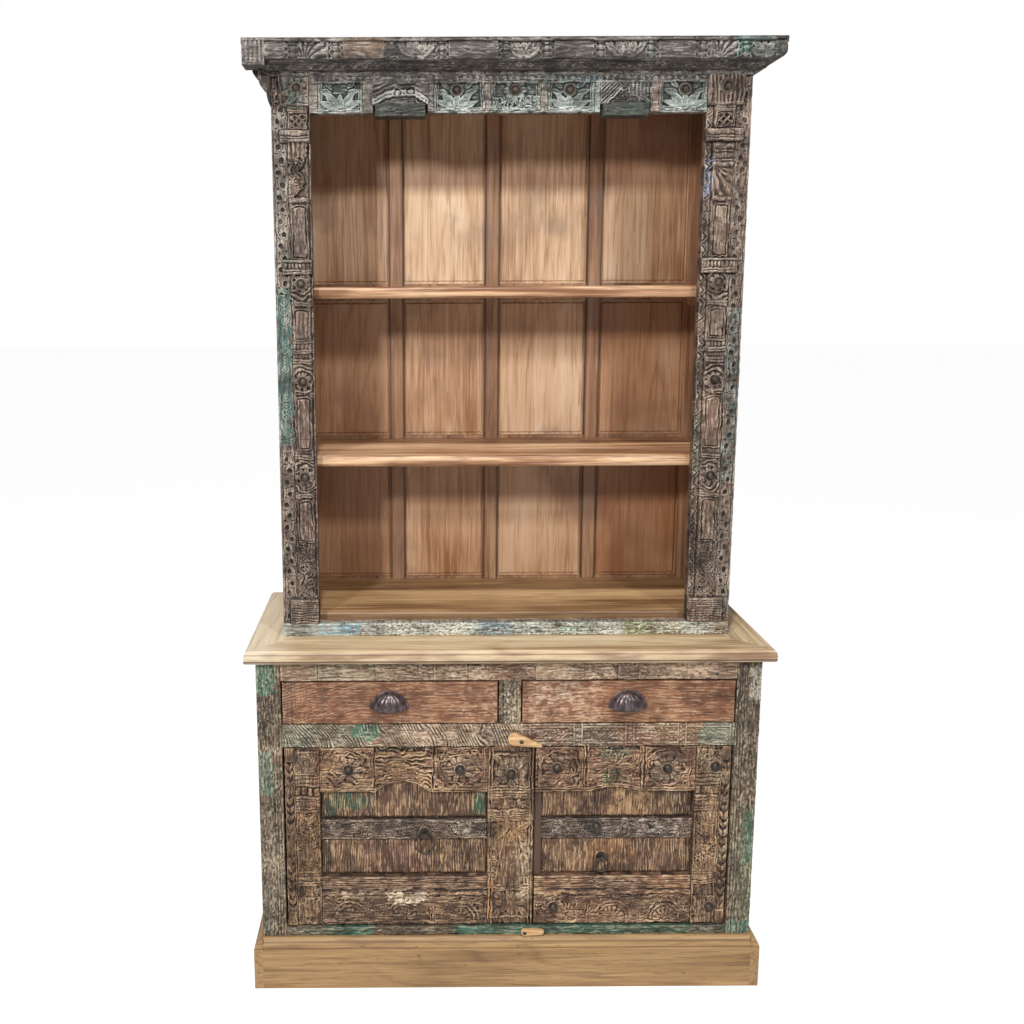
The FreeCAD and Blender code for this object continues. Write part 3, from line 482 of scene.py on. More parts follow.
# The bottom rail is green and teal paint over brown wood, with broken bare stretches on the left.
foot_wood = old_finish("foot_wood", (38, 29, 22), (78, 61, 46), (104, 84, 65), (178, 166, 142), "X", flake=300.0)
x, z = grid(-rail_end, rail_end, 97, 142, board_step)
depth = 0.8 * chiselled(x, z, "X", 43) + 1.0 * ease(0.5, 0.75, weather(x / 2, z, 4, 44))
paint = coat(x, z, ((52, 92, 74), 0.6), [
    (-513, -420, 90, 150, (96, 98, 80), 0.5), (-380, -320, 90, 150, (46, 102, 82), 0.66),
    (-310, -130, 90, 150, (84, 66, 52), 0.46), (-110, -40, 90, 150, (52, 106, 86), 0.62),
    (20, 60, 90, 150, (54, 112, 92), 0.62), (90, 260, 90, 150, (46, 92, 74), 0.72),
    (260, 420, 90, 150, (46, 82, 62), 0.72), (430, 513, 90, 150, (88, 96, 80), 0.52)], 45)
carved_board("bottom_rail_board", ["bottom_rail"], "cabinet", foot_wood, x, z, base_face, depth,
    rail_back, paint)

# The divider between the drawers is a short flecked upright with a bare rounded right edge.
x, z = grid(-22, 28, 641, 745, 1.5)
depth = (0.8 * chiselled(x, z, "Z", 53) + 1.8 * ease(0.45, 0.7, weather(x + 0.3 * z, z, 3.4, 54))
    * (1 - ease(17, 20, x)))
depth = depth + 2.4 * swell(x, 18.5, 1.0) + 2.0 * swell(x, -12, 1.0)
paint = coat(x, z, (bone, 0.46), [(-22, -12, 640, 750, (92, 70, 54), 0.4), (18, 28, 640, 750, (190, 158, 126), 0.5)],
    55)
carved_board("divider_board", ["drawer_divider"], "cabinet", post_wood, x, z, base_face, depth,
    rail_back, paint)

# Base top: pale sand-coloured planks, a border of three mitred boards with a moulded edge round a plain field.
# The grain follows each border board, so it turns at the mitres.


def past_mitre(calc, at):
    """Whether a point of the base top lies nearer to a side than to the front edge."""
    return calc("LESS_THAN", calc("SUBTRACT", 0.590, calc("ABSOLUTE", at[0])), calc("ADD", at[1], 0.240))


def border_light_and_shade(node, calc, mix, span, colour):
    """Painted light and shade on the border: the moulded edge is painted darker than the top, as shade below the upper
    face, in clouds drawn out along the board. Two dark lines are painted shadow under the steps of the moulding, and
    the left end, where the light falls from the left, is painted paler."""
    spot = node("TexCoord", out=3)
    cloud = node("TexNoise", {"Vector": node("Mapping", {"Vector": spot, "Scale": (0.3, 0.3, 1.4)}), "Scale": 26.0,
        "Detail": 4.0})
    height = node("SeparateXYZ", {0: spot}, 2)
    # Painted highlight: the left end, lit from the left, is mixed towards a pale cream.
    colour = mix(span(node("SeparateXYZ", {0: spot}, 0), -0.47, -0.55, 0.0, 0.4), colour, seen(242, 230, 206))
    # Painted shade on the moulded edge below the upper face, in drawn-out clouds.
    colour = mix(calc("MULTIPLY", span(height, 0.8225, 0.817), span(cloud, 0.4, 0.6, 0.05, 0.75)), colour,
        seen(126, 94, 72))
    # Painted shadow: two dark lines under the steps of the moulding.
    groove = span(calc("ABSOLUTE", calc("SUBTRACT", height, 0.8158)), 0.0014, 0.0005, 0.0, 0.6)
    step = span(calc("ABSOLUTE", calc("SUBTRACT", height, 0.8004)), 0.0028, 0.0012, 0.0, 0.85)
    return mix(calc("MAXIMUM", groove, step), colour, seen(74, 50, 36))


border_wood = plank_finish("border_wood", (138, 106, 70), (192, 167, 131), (216, 196, 164), "X", knots=2.6, gloss=0.45,
    across=1, place=turned_where(past_mitre), clouds=1.1, shade=border_light_and_shade)
field_wood = plank_finish("field_wood", (128, 96, 60), (178, 152, 115), (202, 178, 144), "X", board=0.127, knots=1.6,
    gloss=0.45, across=1)
dress(border_wood, "base_top_border")
dress(field_wood, "base_top_field")

# Drawers: red-brown plank fronts with raised grain and clear wax, in plain boxes that slide on the runners.
# A ribbed iron cup pull is screwed to the middle of each front.

drawer_back, pull_place = -190, 268.5
drawer_wood = old_finish("drawer_wood", (70, 39, 25), (120, 75, 49), (148, 101, 68), (214, 180, 144), "X", flake=150.0,
    dust=0.8, scratch=0.36, grime=0.3)
box_wood = plank_finish("box_wood", (110, 78, 46), (160, 122, 78), (188, 152, 106), "Y", knots=2.4)
for hand, left, right, pull in (("left", -510.0, -25.0, -pull_place), ("right", 31.0, 510.0, pull_place)):
    x, z = grid(left, right, 644, 742, board_step)
    slope = np.where(hand == "left", 0.34, 0.10) * (1 - ease(left + 150, left + 330, x))
    sweep = z - slope * (x - left) + 7 * weather(x / 7, z, 18, 61)
    growth = (0.5 + 0.5 * np.sin(sweep * 0.92 + 3.0 * weather(x / 8, z, 22, 62))) ** 2
    cross = 0.6 * ease(0.5, 0.7, weather(x, z / 5, 3.0, 66)) * (1 - ease(left + 50, left + 110, x))
    flat = np.exp(-(((x - pull) / 52) ** 4 + ((z - 696) / 34) ** 4))
    depth = (0.9 * growth + cross + 0.9 * weather(x / 14, z, 2.2, 63) + 1.0 * weather(x, z, 50, 64)) * (1 - flat)
    depth = depth + 1.6 * swell(x - left, 21, 1.0) * (hand == "left")
    worn_away = {
        "left": [
            (-510, -470, 640, 750, (92, 60, 46), 0.6), (-480, -230, 640, 750, (116, 74, 52), 0.5),
            (-220, -130, 644, 690, (188, 146, 120), 0.38), (-200, -25, 715, 750, (124, 82, 62), 0.46),
            (-110, -25, 640, 720, (196, 158, 132), 0.44), (-430, -330, 644, 672, (182, 140, 112), 0.4)],
        "right": [
            (31, 210, 640, 750, (198, 162, 134), 0.47), (60, 150, 690, 742, (214, 186, 160), 0.5),
            (31, 44, 640, 750, (110, 74, 56), 0.5), (400, 510, 690, 750, (120, 80, 60), 0.42),
            (330, 420, 644, 676, (184, 144, 116), 0.42)]}
    paint = coat(x, z, ((124, 81, 56), 0.36), worn_away[hand], 65)
    carved_board(hand + "_drawer_face", [hand + "_drawer_front"], hand + "_drawer", drawer_wood, x, z,
        base_face, depth, drawer_back, paint, arris=1.2)
dress(box_wood, "left_drawer_box", "right_drawer_box")


def iron_finish(name, dark, light, gloss):
    """Dark oiled iron: two near-black tones in soft clouds, fine pitting, and a dull sheen that varies with both."""
    material, node, shader, mix, calc, span = new_finish(name)
    spot = node("TexCoord", out=3)
    cloud = node("TexNoise", {"Vector": spot, "Scale": 55.0, "Detail": 4.0, "Roughness": 0.6})
    pits = node("TexNoise", {"Vector": spot, "Scale": 900.0, "Detail": 3.0, "Roughness": 0.6})
    colour = mix(span(cloud, 0.35, 0.65), seen(*dark), seen(*light))
    colour = mix(span(pits, 0.62, 0.75, 0.0, 0.5), colour, seen(92, 62, 44))
    lift = calc("ADD", calc("MULTIPLY", pits, 0.6), calc("MULTIPLY", cloud, 0.6))
    shader(Base_Color=colour, Metallic=0.75, Roughness=span(pits, 0.3, 0.7, gloss - 0.07, gloss + 0.12),
        Normal=node("Bump", {"Height": lift, "Strength": 0.3, "Distance": 0.0005}))
    return material


pull_iron = iron_finish("pull_iron", (60, 52, 54), (112, 98, 100), 0.32)


def cup_pull(name, node, body, place):
    """A scallop shell: a quarter of an ellipsoid with its pole at the top of the drawer's face. Flutes run from
    the pole to the open lower edge, and a flat flange turns out along the face round it."""
    low, face = 680.0, base_face
    half, stand_out, height, flange = 37.5, 22.2, 36.5, 4.6
    turn, fall = np.meshgrid(np.linspace(0, np.pi, 105), np.linspace(0.04, 1, 34))
    flute = 1 - 0.085 * (1 - np.sqrt(np.abs(np.sin(turn * 6.5)))) * ease(0.18, 0.5, fall)
    tilt = fall * np.pi / 2
    x = place + half * np.sin(tilt) * np.cos(turn) * flute
    y = face - 1.6 - stand_out * np.sin(tilt) * np.sin(turn) * flute
    z = low + height * np.cos(tilt) ** 0.9
    dome = np.stack([x, y, z], -1).reshape(-1, 3)
    index = np.arange(turn.size).reshape(turn.shape)
    quads = np.stack([index[:-1, :-1], index[1:, :-1], index[1:, 1:], index[:-1, 1:]], -1).reshape(-1, 4)
    pole = np.array([[place, face - 1.6, low + height]])
    ring = index[0]
    cap = np.stack([np.full(len(ring) - 1, len(dome)), ring[:-1], ring[1:]], -1)
    faces = quads.tolist() + cap.tolist()
    points = np.concatenate([dome, pole])
    shell = put_in(name, points, faces, body, pull_iron, np.ones(len(faces), bool))
    wall = shell.modifiers.new("wall", "SOLIDIFY")
    wall.thickness = 0.0016
    wall.offset = -1
    turn, section = np.meshgrid(np.linspace(0, np.pi, 65), np.linspace(0, 2 * np.pi, 13)[:-1])
    wide = np.cos(section)
    thick = np.sin(section)
    middle_x, middle_z = 39.5, 38.0
    x = place + (middle_x + flange * wide) * np.cos(turn)
    z = low + (middle_z + flange * wide) * np.sin(turn)
    y = face - 1.35 - 1.3 * thick
    points = np.stack([x, y, z], -1).reshape(-1, 3)
    index = np.arange(turn.size).reshape(turn.shape)
    after = np.roll(index, -1, 0)
    quads = np.stack([index[:, :-1], index[:, 1:], after[:, 1:], after[:, :-1]], -1).reshape(-1, 4)
    faces = quads.tolist() + [index[:, 0].tolist(), index[::-1, -1].tolist()]
    put_in(name + "_flange", points, faces, body, pull_iron, np.ones(len(faces), bool))
    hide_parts(node)


cup_pull("left_shell_pull", "left_cup_pull", "left_drawer", -pull_place)
cup_pull("right_shell_pull", "right_cup_pull", "right_drawer", pull_place)

# Doors: old carved shutters. Stiles and rails are carved with blocks of flowers, fans and leaf chains round iron
# bosses, and the panels between are upright planks with ridged grain. Everything is worn by hand and weather: edges
# are pale, hollows dark, and much of the ornament is half rubbed away.


def hand_cut(x, z, sway, seed):
    """The same places, nudged by a soft random field, so that ornament drawn with them looks cut by hand."""
    return (x + sway * (weather(x, z, 23, seed) - 0.5) + 0.7 * sway * (weather(x, z, 8, seed + 1) - 0.5),
        z + sway * (weather(x, z, 21, seed + 2) - 0.5) + 0.7 * sway * (weather(x, z, 7, seed + 3) - 0.5))


def rubbed(rise, x, z, seed, least=0.3):
    """Ornament worn in patches: where a random field is low, its rise draws near to an even half height."""
    keep = least + (1 - least) * ease(0.32, 0.6, 0.6 * weather(x, z, 25, seed) + 0.4 * weather(x, z, 9, seed + 1))
    return 0.48 + (np.clip(rise, 0, 1) - 0.48) * keep


def foliage(x, z, size, lines, seed):
    """Flowing leaf lines: the contours of a soft random field, as many to its full height as given."""
    field = weather(x, z, size, seed) + 0.35 * weather(x, z, size / 2.3, seed + 1)
    return (0.5 + 0.5 * np.cos(2 * np.pi * lines * field)) ** 0.8


def leaf(x, z, cx, cz, length, width, turn):
    """A pointed leaf: its half width is a sine of the share of its length, its margins are raised, its middle is
    sunk."""
    c, s = math.cos(math.radians(turn)), math.sin(math.radians(turn))
    u = ((x - cx) * c + (z - cz) * s) / length
    v = (z - cz) * c - (x - cx) * s
    half = 0.5 * width * np.sin(np.pi * np.clip(u, 0, 1) ** 0.75) + 1e-6
    share = np.abs(v) / half
    rise = np.sqrt(np.clip(1 - share ** 2, 0, 1)) ** 0.7 * (0.5 + 0.5 * swell(share, 0.72, 0.24))
    rise = highest(rise, 0.9 * swell(v, 0, 0.9) * (u < 0.8)) if width > 16 else rise
    return np.where((u > 0) & (u < 1), rise, 0)


def leaves(x, z, *each):
    """Several leaves, each given by its foot, length, width and turn: the highest counts."""
    return highest(*[leaf(x, z, *one) for one in each])


def paired(x, z, cx, *each):
    """Leaves in pairs that mirror each other about cx, each pair given by how far its feet lie from there, their
    height, the length and width of a leaf, and the turn of the right one."""
    both = [(cx + way * off, foot, length, width, turn if way > 0 else 180 - turn) for off, foot, length, width,
        turn in each for way in (-1, 1)]
    return leaves(x, z, *both)


def flower(x, z, cx, cz, radius, petals, eye=0.3, turn=0.0):
    """A rosette: petals are domes along the radius, parted by sunk lines, round a domed eye."""
    r = np.hypot(x - cx, z - cz) / radius
    a = np.arctan2(z - cz, x - cx) + turn
    lobe = np.abs(np.cos(petals * a / 2))
    reach = 0.7 + 0.3 * lobe ** 0.7
    petal = half_round(r / reach, 0.62, 0.38) * (0.3 + 0.7 * lobe ** 0.5)
    petal = petal * (1 - 0.35 * swell(np.abs(np.sin(petals * a / 2)), 0.0, 0.18))
    return highest(petal, half_round(r, 0, eye))


def coil(x, z, cx, cz, radius, hand=1, turn=0.0):
    """A scroll: a ridge that winds inwards by one pitch each turn, inside a circle."""
    r = np.hypot(x - cx, z - cz) / radius
    a = np.arctan2(z - cz, (x - cx) * hand) + turn
    winding = (r * 1.7 - a / (2 * np.pi)) % 1.0
    return swell(winding, 0.5, 0.25) * (1 - ease(0.9, 1.02, r))


def fan(x, z, cx, cz, radius, rays):
    """A half-round fan: rays from its foot, parted by sunk lines, inside two raised rims."""
    r = np.hypot(x - cx, z - cz) / radius
    a = np.arctan2(z - cz, x - cx)
    ray = np.abs(np.cos(rays * a)) ** 0.6 * ease(0.1, 0.3, r) * (1 - ease(0.6, 0.66, r))
    rim = highest(swell(r, 0.74, 0.055), swell(r, 0.93, 0.06))
    return np.where(z > cz - 1, highest(ray, rim) + 0.7 * swell(r, 0, 0.14), 0)


def mouldings(z, edges):
    """Level reeds between the given heights: each is a half round."""
    return highest(*[half_round(z, (low + high) / 2, (high - low) / 2) for low, high in zip(edges[:-1], edges[1:])])


def frame_lines(x, z, x0, x1, z0, z1, inset, width=1.6):
    """A raised line round the inside of a rectangle."""
    off = np.minimum(np.minimum(x - x0, x1 - x), np.minimum(z - z0, z1 - z))
    return swell(off, inset, width)


def leaf_chain(x, z, x0, x1, pitch, start=0.0):
    """A chain of pointed leaves up a strip: each pitch holds two leaves that rise from the middle line to both
    sides."""
    u = (x - x0) / (x1 - x0) - 0.5
    v = ((z - start) / pitch) % 1.0
    along = v - 0.9 * np.abs(u)
    rise = half_round(along, 0.32, 0.3) * (1 - 0.6 * swell(u, 0, 0.05))
    return rise * (1 - 0.45 * swell(along, 0.3, 0.06)) * band(u, -0.42, 0.42, 0.06)


def boss_panel(x, z, x0, x1, z0, z1, cx, cz, seed):
    """A square panel: a raised frame line, a ring of petals round an iron boss, and leaves that flow round it."""
    inside = (x > x0) & (x < x1) & (z > z0) & (z < z1)
    r = np.hypot((x - cx) / 1.1, z - cz)
    flow = (0.5 + 0.5 * np.cos(2 * np.pi * (r / 11.0 + 1.6 * weather(x, z, 15, seed)))) * 0.85
    rise = np.where(r > 31, flow, 0)
    rise = highest(rise, flower(x, z, cx, cz, 33, 9, 0.42, 0.3 * seed) * (r < 34))
    for turn in (45, 135, 225, 315):
        c, s = math.cos(math.radians(turn)), math.sin(math.radians(turn))
        rise = highest(rise, 0.95 * leaf(x, z, cx + 30 * c, cz + 27 * s, 27, 17, turn))
    rise = highest(rise, frame_lines(x, z, x0, x1, z0, z1, 2.4, 1.8),
        0.8 * frame_lines(x, z, x0, x1, z0, z1, 7.5, 1.2))
    return np.where(inside, rise, 0)


def seats(depth, x, z, places):
    """The depth brought back to nothing where an iron plate or boss sits on the wood."""
    for px, pz, radius in places:
        depth = depth * (1 - band(np.hypot(x - px, z - pz), 0, radius, 2))
    return depth


door_face, block_face, bar_face, panel_face = -206, -209, -196, -188
door_back, panel_back = -174, -178
boss_seat = 12.5
door_foot, door_head = 145, 584
stile_inner, stile_outer, post_left, post_right = 430, 510, -45, 61
head_low, foot_high, bar_low, bar_high = 475, 262, 354, 403
door_look = dict(dust=1.0, scratch=0.42, dirt=1.0)
door_wood = old_finish("door_wood", (52, 33, 23), (104, 71, 51), (132, 96, 70), (216, 184, 148), "X", flake=210.0,
    **door_look)
stile_wood = old_finish("stile_wood", (49, 33, 23), (98, 68, 48), (126, 91, 65), (212, 182, 146), "Z", flake=210.0,
    **door_look)
left_foot_wood = old_finish("left_foot_wood", (43, 28, 19), (84, 57, 41), (108, 78, 57), (202, 170, 134), "X",
    flake=210.0, **door_look)
left_stile_wood = old_finish("left_stile_wood", (41, 27, 18), (83, 57, 40), (106, 76, 54), (200, 168, 132), "Z",
    flake=210.0, **door_look)
slate_wood = old_finish("slate_wood", (32, 23, 18), (68, 48, 38), (92, 68, 54), (206, 184, 160), "X", flake=210.0,
    dust=0.85, scratch=0.3, dirt=0.9)
plain_brown = (106, 72, 52)
gold = (158, 118, 70)
pale_tan = (188, 156, 114)
cool_grey = (98, 88, 78)
sage = (120, 128, 104)
dark_brown = (66, 47, 36)


def hanging_stile(hand, side):
    """A stile: an outer leaf chain, then a column of a flower block, capitals, a foliage shaft and a foot block."""
    gx, gz = grid(*sorted((side * stile_inner, side * stile_outer)), door_foot, door_head, carving_step)
    x, z = hand_cut(gx, gz, 4.5, 70 + side)
    u = side * x - stile_inner
    block = (side * gx - stile_inner < 58) & (((gz > 165) & (gz < 215)) | ((gz > 520) & (gz < 575)))
    strip = highest(leaf_chain(u, z, 60, 78, 21, 150), 0.9 * highest(band(u, 57, 59, 0.8), band(u, 77.5, 80, 0.8)))
    centre = 42 if side > 0 else 29
    swirl = flower(u, z, centre, 537 if side > 0 else 547, 27, 8, 0.36, 0.11 * np.hypot(u - 29, z - 547))
    swirl = highest(swirl, 0.8 * foliage(u, z, 13, 5, 75 + side) * (swirl < 0.1),
        frame_lines(u, z, 0, 58, 518, 577, 2.4))
    arches = half_round(u % 14.5, 7.25, 6.2) * band(z, 470, 485, 2)
    capital = highest(mouldings(z, (425, 433, 438, 452, 458, 466)), arches,
        0.9 * mouldings(z, (489, 496, 508, 518)) * (z > 488))
    edges = highest(band(u, 1, 3.5, 1.2), band(u, 52, 54.5, 1.2))
    shaft = highest(edges, leaf_chain(u, z, 6, 50, 34, 290), 0.75 * foliage(u, z, 12, 5, 78 + side))
    neck = mouldings(z, (243, 250, 255, 268, 273, 281))
    foot = highest(leaf(u, z, 29, 168, 70, 30, 90), paired(u, z, 29, (5, 168, 60, 22, 62)), edges)
    foot = highest(foot, 0.6 * foliage(u, z, 11, 5, 79 + side))
    if side > 0:
        foot = highest(foot, flower(u, z, 42, 189, 25, 8, 0.5))
    rise = np.select([z > 517, z > 423, z > 281, z > 243], [swirl, capital, shaft, neck], foot)
    rise = rubbed(np.where(u > 57, strip, rise), gx, gz, 71 + side)
    depth = 6.2 * (1 - rise) + 0.7 * chiselled(gx, gz, "Z", 72 + side)
    depth = seats(depth, gx, gz, ((472, 537, boss_seat), (472, 189, boss_seat)) if side > 0 else ())
    pin = band(np.abs(side * gx - 497), 0, 8, 2) * highest(ease(548, 552, gz), 1 - ease(177, 181, gz))
    depth = depth * (1 - 0.9 * pin)
    edge = np.clip((side * gx - 506) / 4, 0, 1)
    depth = depth + 4.0 * (1 - np.sqrt(1 - edge ** 2)) + 2.5 * swell(u, 56, 1.2)
    spots = {
        "left": [
            (-490, -430, 280, 430, gold, 0.5), (-450, -430, 430, 584, (122, 80, 62), 0.55),
            (-490, -430, 150, 262, pale_tan, 0.44), (-490, -450, 500, 580, cool_grey, 0.5)],
        "right": [
            (440, 500, 500, 566, (72, 106, 98), 0.46), (430, 490, 240, 480, gold, 0.44),
            (495, 512, 300, 480, sage, 0.45), (430, 446, 250, 480, dark_brown, 0.5)]}
    paint = coat(gx, gz, (plain_brown, 0.42), spots[hand], 74 + side)
    paint[..., :3] *= 0.68 if hand == "left" else 0.92
    return gx, gz, np.where(block, block_face, door_face), depth, paint


for hand, side in (("left", -1), ("right", 1)):
    x, z, face, depth, paint = hanging_stile(hand, side)
    carved_board(hand + "_stile", [hand + "_door_stile"], hand + "_door",
        left_stile_wood if hand == "left" else stile_wood, x, z, face, depth, door_back, paint)

# The middle post: flower blocks at head and foot, mouldings, crossed leaves and a pale-edged tapered shaft.
gx, gz = grid(post_left, post_right, door_foot, door_head, carving_step)
x, z = hand_cut(gx, gz, 4.5, 80)
u = x - 8
face = np.where(((gz > 161) & (gz < 237)) | ((gz > 485) & (gz < 569)), block_face, door_face)
sides = highest(band(np.abs(u), 48.5, 50.5, 1), band(np.abs(u), 42.5, 44, 0.8))
head = highest(flower(x, z, 8, 521, 36, 8, 0.4), frame_lines(x, z, -37, 53, 487, 567, 2))
head = highest(head, paired(x, z, 8, (40, 492, 30, 17, 135), (40, 562, 30, 17, 225)))
scallops = highest(*[0.95 * fan(x, z, cx, 437, 15, 4) for cx in (-24, 8, 40)])
necks = highest(mouldings(z, (403, 409, 413, 419, 424, 432, 458, 464, 470, 478, 485)) * ((z < 433) | (z > 456)),
    scallops)
cross = highest(paired(x, z, 8, (38, 352, 66, 17, 132), (44, 398, 46, 14, 218)), leaf(x, z, 8, 350, 30, 13, 90))
taper = 32 - 0.16 * (z - 257)
shaft = highest(swell(np.abs(u), taper, 2.6), 0.5 * half_round(u, 0, taper))
shaft = highest(shaft, 0.9 * coil(x, z, -33, 266, 13, 1) + 0.9 * coil(x, z, 47, 270, 14, -1))
shaft = highest(shaft, 0.7 * foliage(x, z, 12, 5, 84) * (np.abs(u) > taper + 4))
base = highest(flower(x, z, 8, 199, 33, 8, 0.35), frame_lines(x, z, -37, 53, 163, 235, 2))
base = highest(base, paired(x, z, 8, (40, 167, 32, 16, 138), (40, 231, 30, 16, 222)))
rise = np.select([z > 485, z > 402, z > 345, z > 246, z > 236],
    [head, necks, highest(cross, 0.3 * shaft), shaft, mouldings(z, (236, 241, 246))], base)
rise = rubbed(highest(rise, sides), gx, gz, 81)
depth = seats(6.2 * (1 - rise) + 0.7 * chiselled(gx, gz, "Z", 82), gx, gz, ((8, 521, boss_seat),))
bold = swell(u - 20, 0.32 * np.clip(365 - z, 0, 75), 3.6) * band(z, 205, 362, 8)
depth = depth * (1 - 0.8 * bold) + 3.4 * swell(gx - 55, 2.5 * np.sin(gz * 0.02), 1.2)
paint = coat(gx, gz, (plain_brown, 0.42), [
    (-34, 50, 335, 412, gold, 0.5), (-45, -20, 250, 345, gold, 0.46), (-14, 20, 256, 338, (104, 70, 48), 0.6),
    (26, 56, 200, 350, (206, 184, 152), 0.5), (-24, 40, 490, 556, cool_grey, 0.5),
    (-45, -34, 160, 250, (162, 108, 60), 0.55), (-30, 46, 420, 486, pale_tan, 0.4)], 83)
carved_board("middle_post", ["left_door_centre_post"], "left_door", stile_wood, gx, gz, face, depth,
    door_back, paint)


def arched_grid(x0, x1, low, high, place, width, rise, step):
    """A grid whose lowest row follows a shallow round arch in the lower edge, and whose rows even out towards the
    top."""
    rows = max(3, round((high - low) / step) + 1)
    x, v = np.meshgrid(np.linspace(x0, x1, round((x1 - x0) / step) + 1), np.linspace(0, 1, rows))
    radius = (width ** 2 / 4 + rise ** 2) / (2 * rise)
    arch = np.sqrt(np.clip(radius ** 2 - (x - place) ** 2, 0, None)) - (radius - rise)
    foot = low + np.where(np.abs(x - place) < width / 2, np.clip(arch, 0, None), 0)
    return x, foot + v * (high - foot), foot


# Top rails: boss panels at both ends, and a carved field between them. On the left its leaves flow round an arch, on
# the right it is a star of long pointed petals. The head of each field is broken away.
arches = {"left": (-240, 126, 26), "right": (245, 114, 11)}
boss_panel_low, boss_panel_high = 482, 582


def flowing_leaves(x, z):
    """The left field: leaf lines that flow round an arch, and three leaves at its foot, inside a frame line."""
    arc = np.hypot((x + 240) / 1.6, z - 470)
    flow = arc / 9.5 + 1.5 * weather(x, z, 17, 98) + 0.25 * np.cos((x + 240) * 0.16)
    rise = highest(0.5 + 0.5 * np.cos(2 * np.pi * flow), frame_lines(x, z, -304, -170, 450, 620, 2))
    rise = highest(rise, leaf(x, z, -240, 512, 34, 20, 90), paired(x, z, -240, (6, 512, 44, 18, 40)))
    return np.where((x > -303) & (x < -171), rise, 0)


def petal_star(x, z):
    """The right field: long pointed petals round a small flower, inside a frame line and between two upright lines."""
    star = highest(frame_lines(x, z, 184, 304, 478, 586, 2.2), flower(x, z, 240, 534, 13, 6, 0.6))
    star = highest(star, paired(x, z, 240, (8, 534, 46, 21, 0)),
        leaves(x, z, (240, 542, 38, 20, 90), (240, 526, 38, 20, 270)))
    between = [
        (240 + 11 * math.cos(t), 534 + 11 * math.sin(t), 44, 14, math.degrees(t))
        for t in np.radians((33, 147, 213, 327, 58, 122))]
    star = highest(star, 0.9 * leaves(x, z, *between))
    star = highest(star, 0.55 * foliage(x, z, 12, 4, 106) * (np.hypot(x - 240, z - 534) > 44))
    return highest(np.where((x > 183) & (x < 305), star, 0), band(x, 176.5, 179, 1), band(x, 307, 310, 1))


def head_rail(hand, ends, field, panels, gap, seed, spots):
    """A top rail between its ends: boss panels (x0, x1, cx, cz, seed), a field, two lines along the arched lower edge,
    and a gap (x0, x1, z0, z1, depth, seed) where the head is broken away."""
    gx, gz, foot = arched_grid(*ends, head_low, door_head, *arches[hand], carving_step)
    x, z = hand_cut(gx, gz, 5.0, seed)
    rise = highest(field(x, z), band(gz - foot, 1.0, 3.0, 1.0), band(gz - foot, 6.0, 7.5, 1.0))
    for x0, x1, cx, cz, own in panels:
        rise = highest(rise, boss_panel(x, z, x0, x1, boss_panel_low, boss_panel_high, cx, cz, own))
    depth = 6.0 * (1 - rubbed(rise, gx, gz, seed + 1)) + 0.8 * chiselled(gx, gz, "X", seed + 2)
    x0, x1, z0, z1, deep, own = gap
    depth = depth + deep * band(gx, x0, x1, 3) * ease(z0, z1, gz + 3 * weather(gx, gz, 9, own))
    depth = seats(depth, gx, gz, [(cx, cz, boss_seat) for x0, x1, cx, cz, own in panels])
    paint = coat(gx, gz, (plain_brown, 0.42), spots, seed + 3)
    carved_board(hand + "_door_head", [hand + "_door_top_rail"], hand + "_door", door_wood, gx, gz,
        door_face, depth, door_back, paint)


# On the left rail the first patch, near-black, is painted shadow in the notch where the head of the field is broken
# away.
head_rail("left", (-stile_inner, post_left), flowing_leaves, ((-425, -306, -364, 531, 91), (-168, -50, -109, 531, 95)),
    (-304, -190, 571, 575, 7.0, 96), 90, [
        (-298, -186, 562, 600, (20, 14, 11), 0.98), (-430, -45, 468, 487, pale_tan, 0.46),
        (-304, -172, 490, 571, gold, 0.46), (-425, -395, 480, 560, gold, 0.46), (-385, -340, 508, 552, cool_grey, 0.5),
        (-345, -306, 478, 506, pale_tan, 0.48), (-140, -74, 505, 560, cool_grey, 0.5),
        (-66, -45, 475, 584, (112, 74, 58), 0.6)])
head_rail("right", (64, stile_inner), petal_star, ((70, 174, 112, 534, 101), (314, 418, 364, 530, 105)),
    (186, 300, 574, 577, 5.0, 107), 100, [
        (190, 300, 490, 568, pale_tan, 0.38), (222, 262, 500, 530, (84, 92, 58), 0.55),
        (215, 270, 556, 584, (66, 78, 62), 0.6), (330, 400, 498, 566, cool_grey, 0.52),
        (80, 150, 505, 560, dark_brown, 0.44), (174, 186, 480, 584, gold, 0.5),
        (298, 318, 480, 584, (150, 108, 72), 0.5), (400, 430, 475, 584, (120, 78, 60), 0.5)])

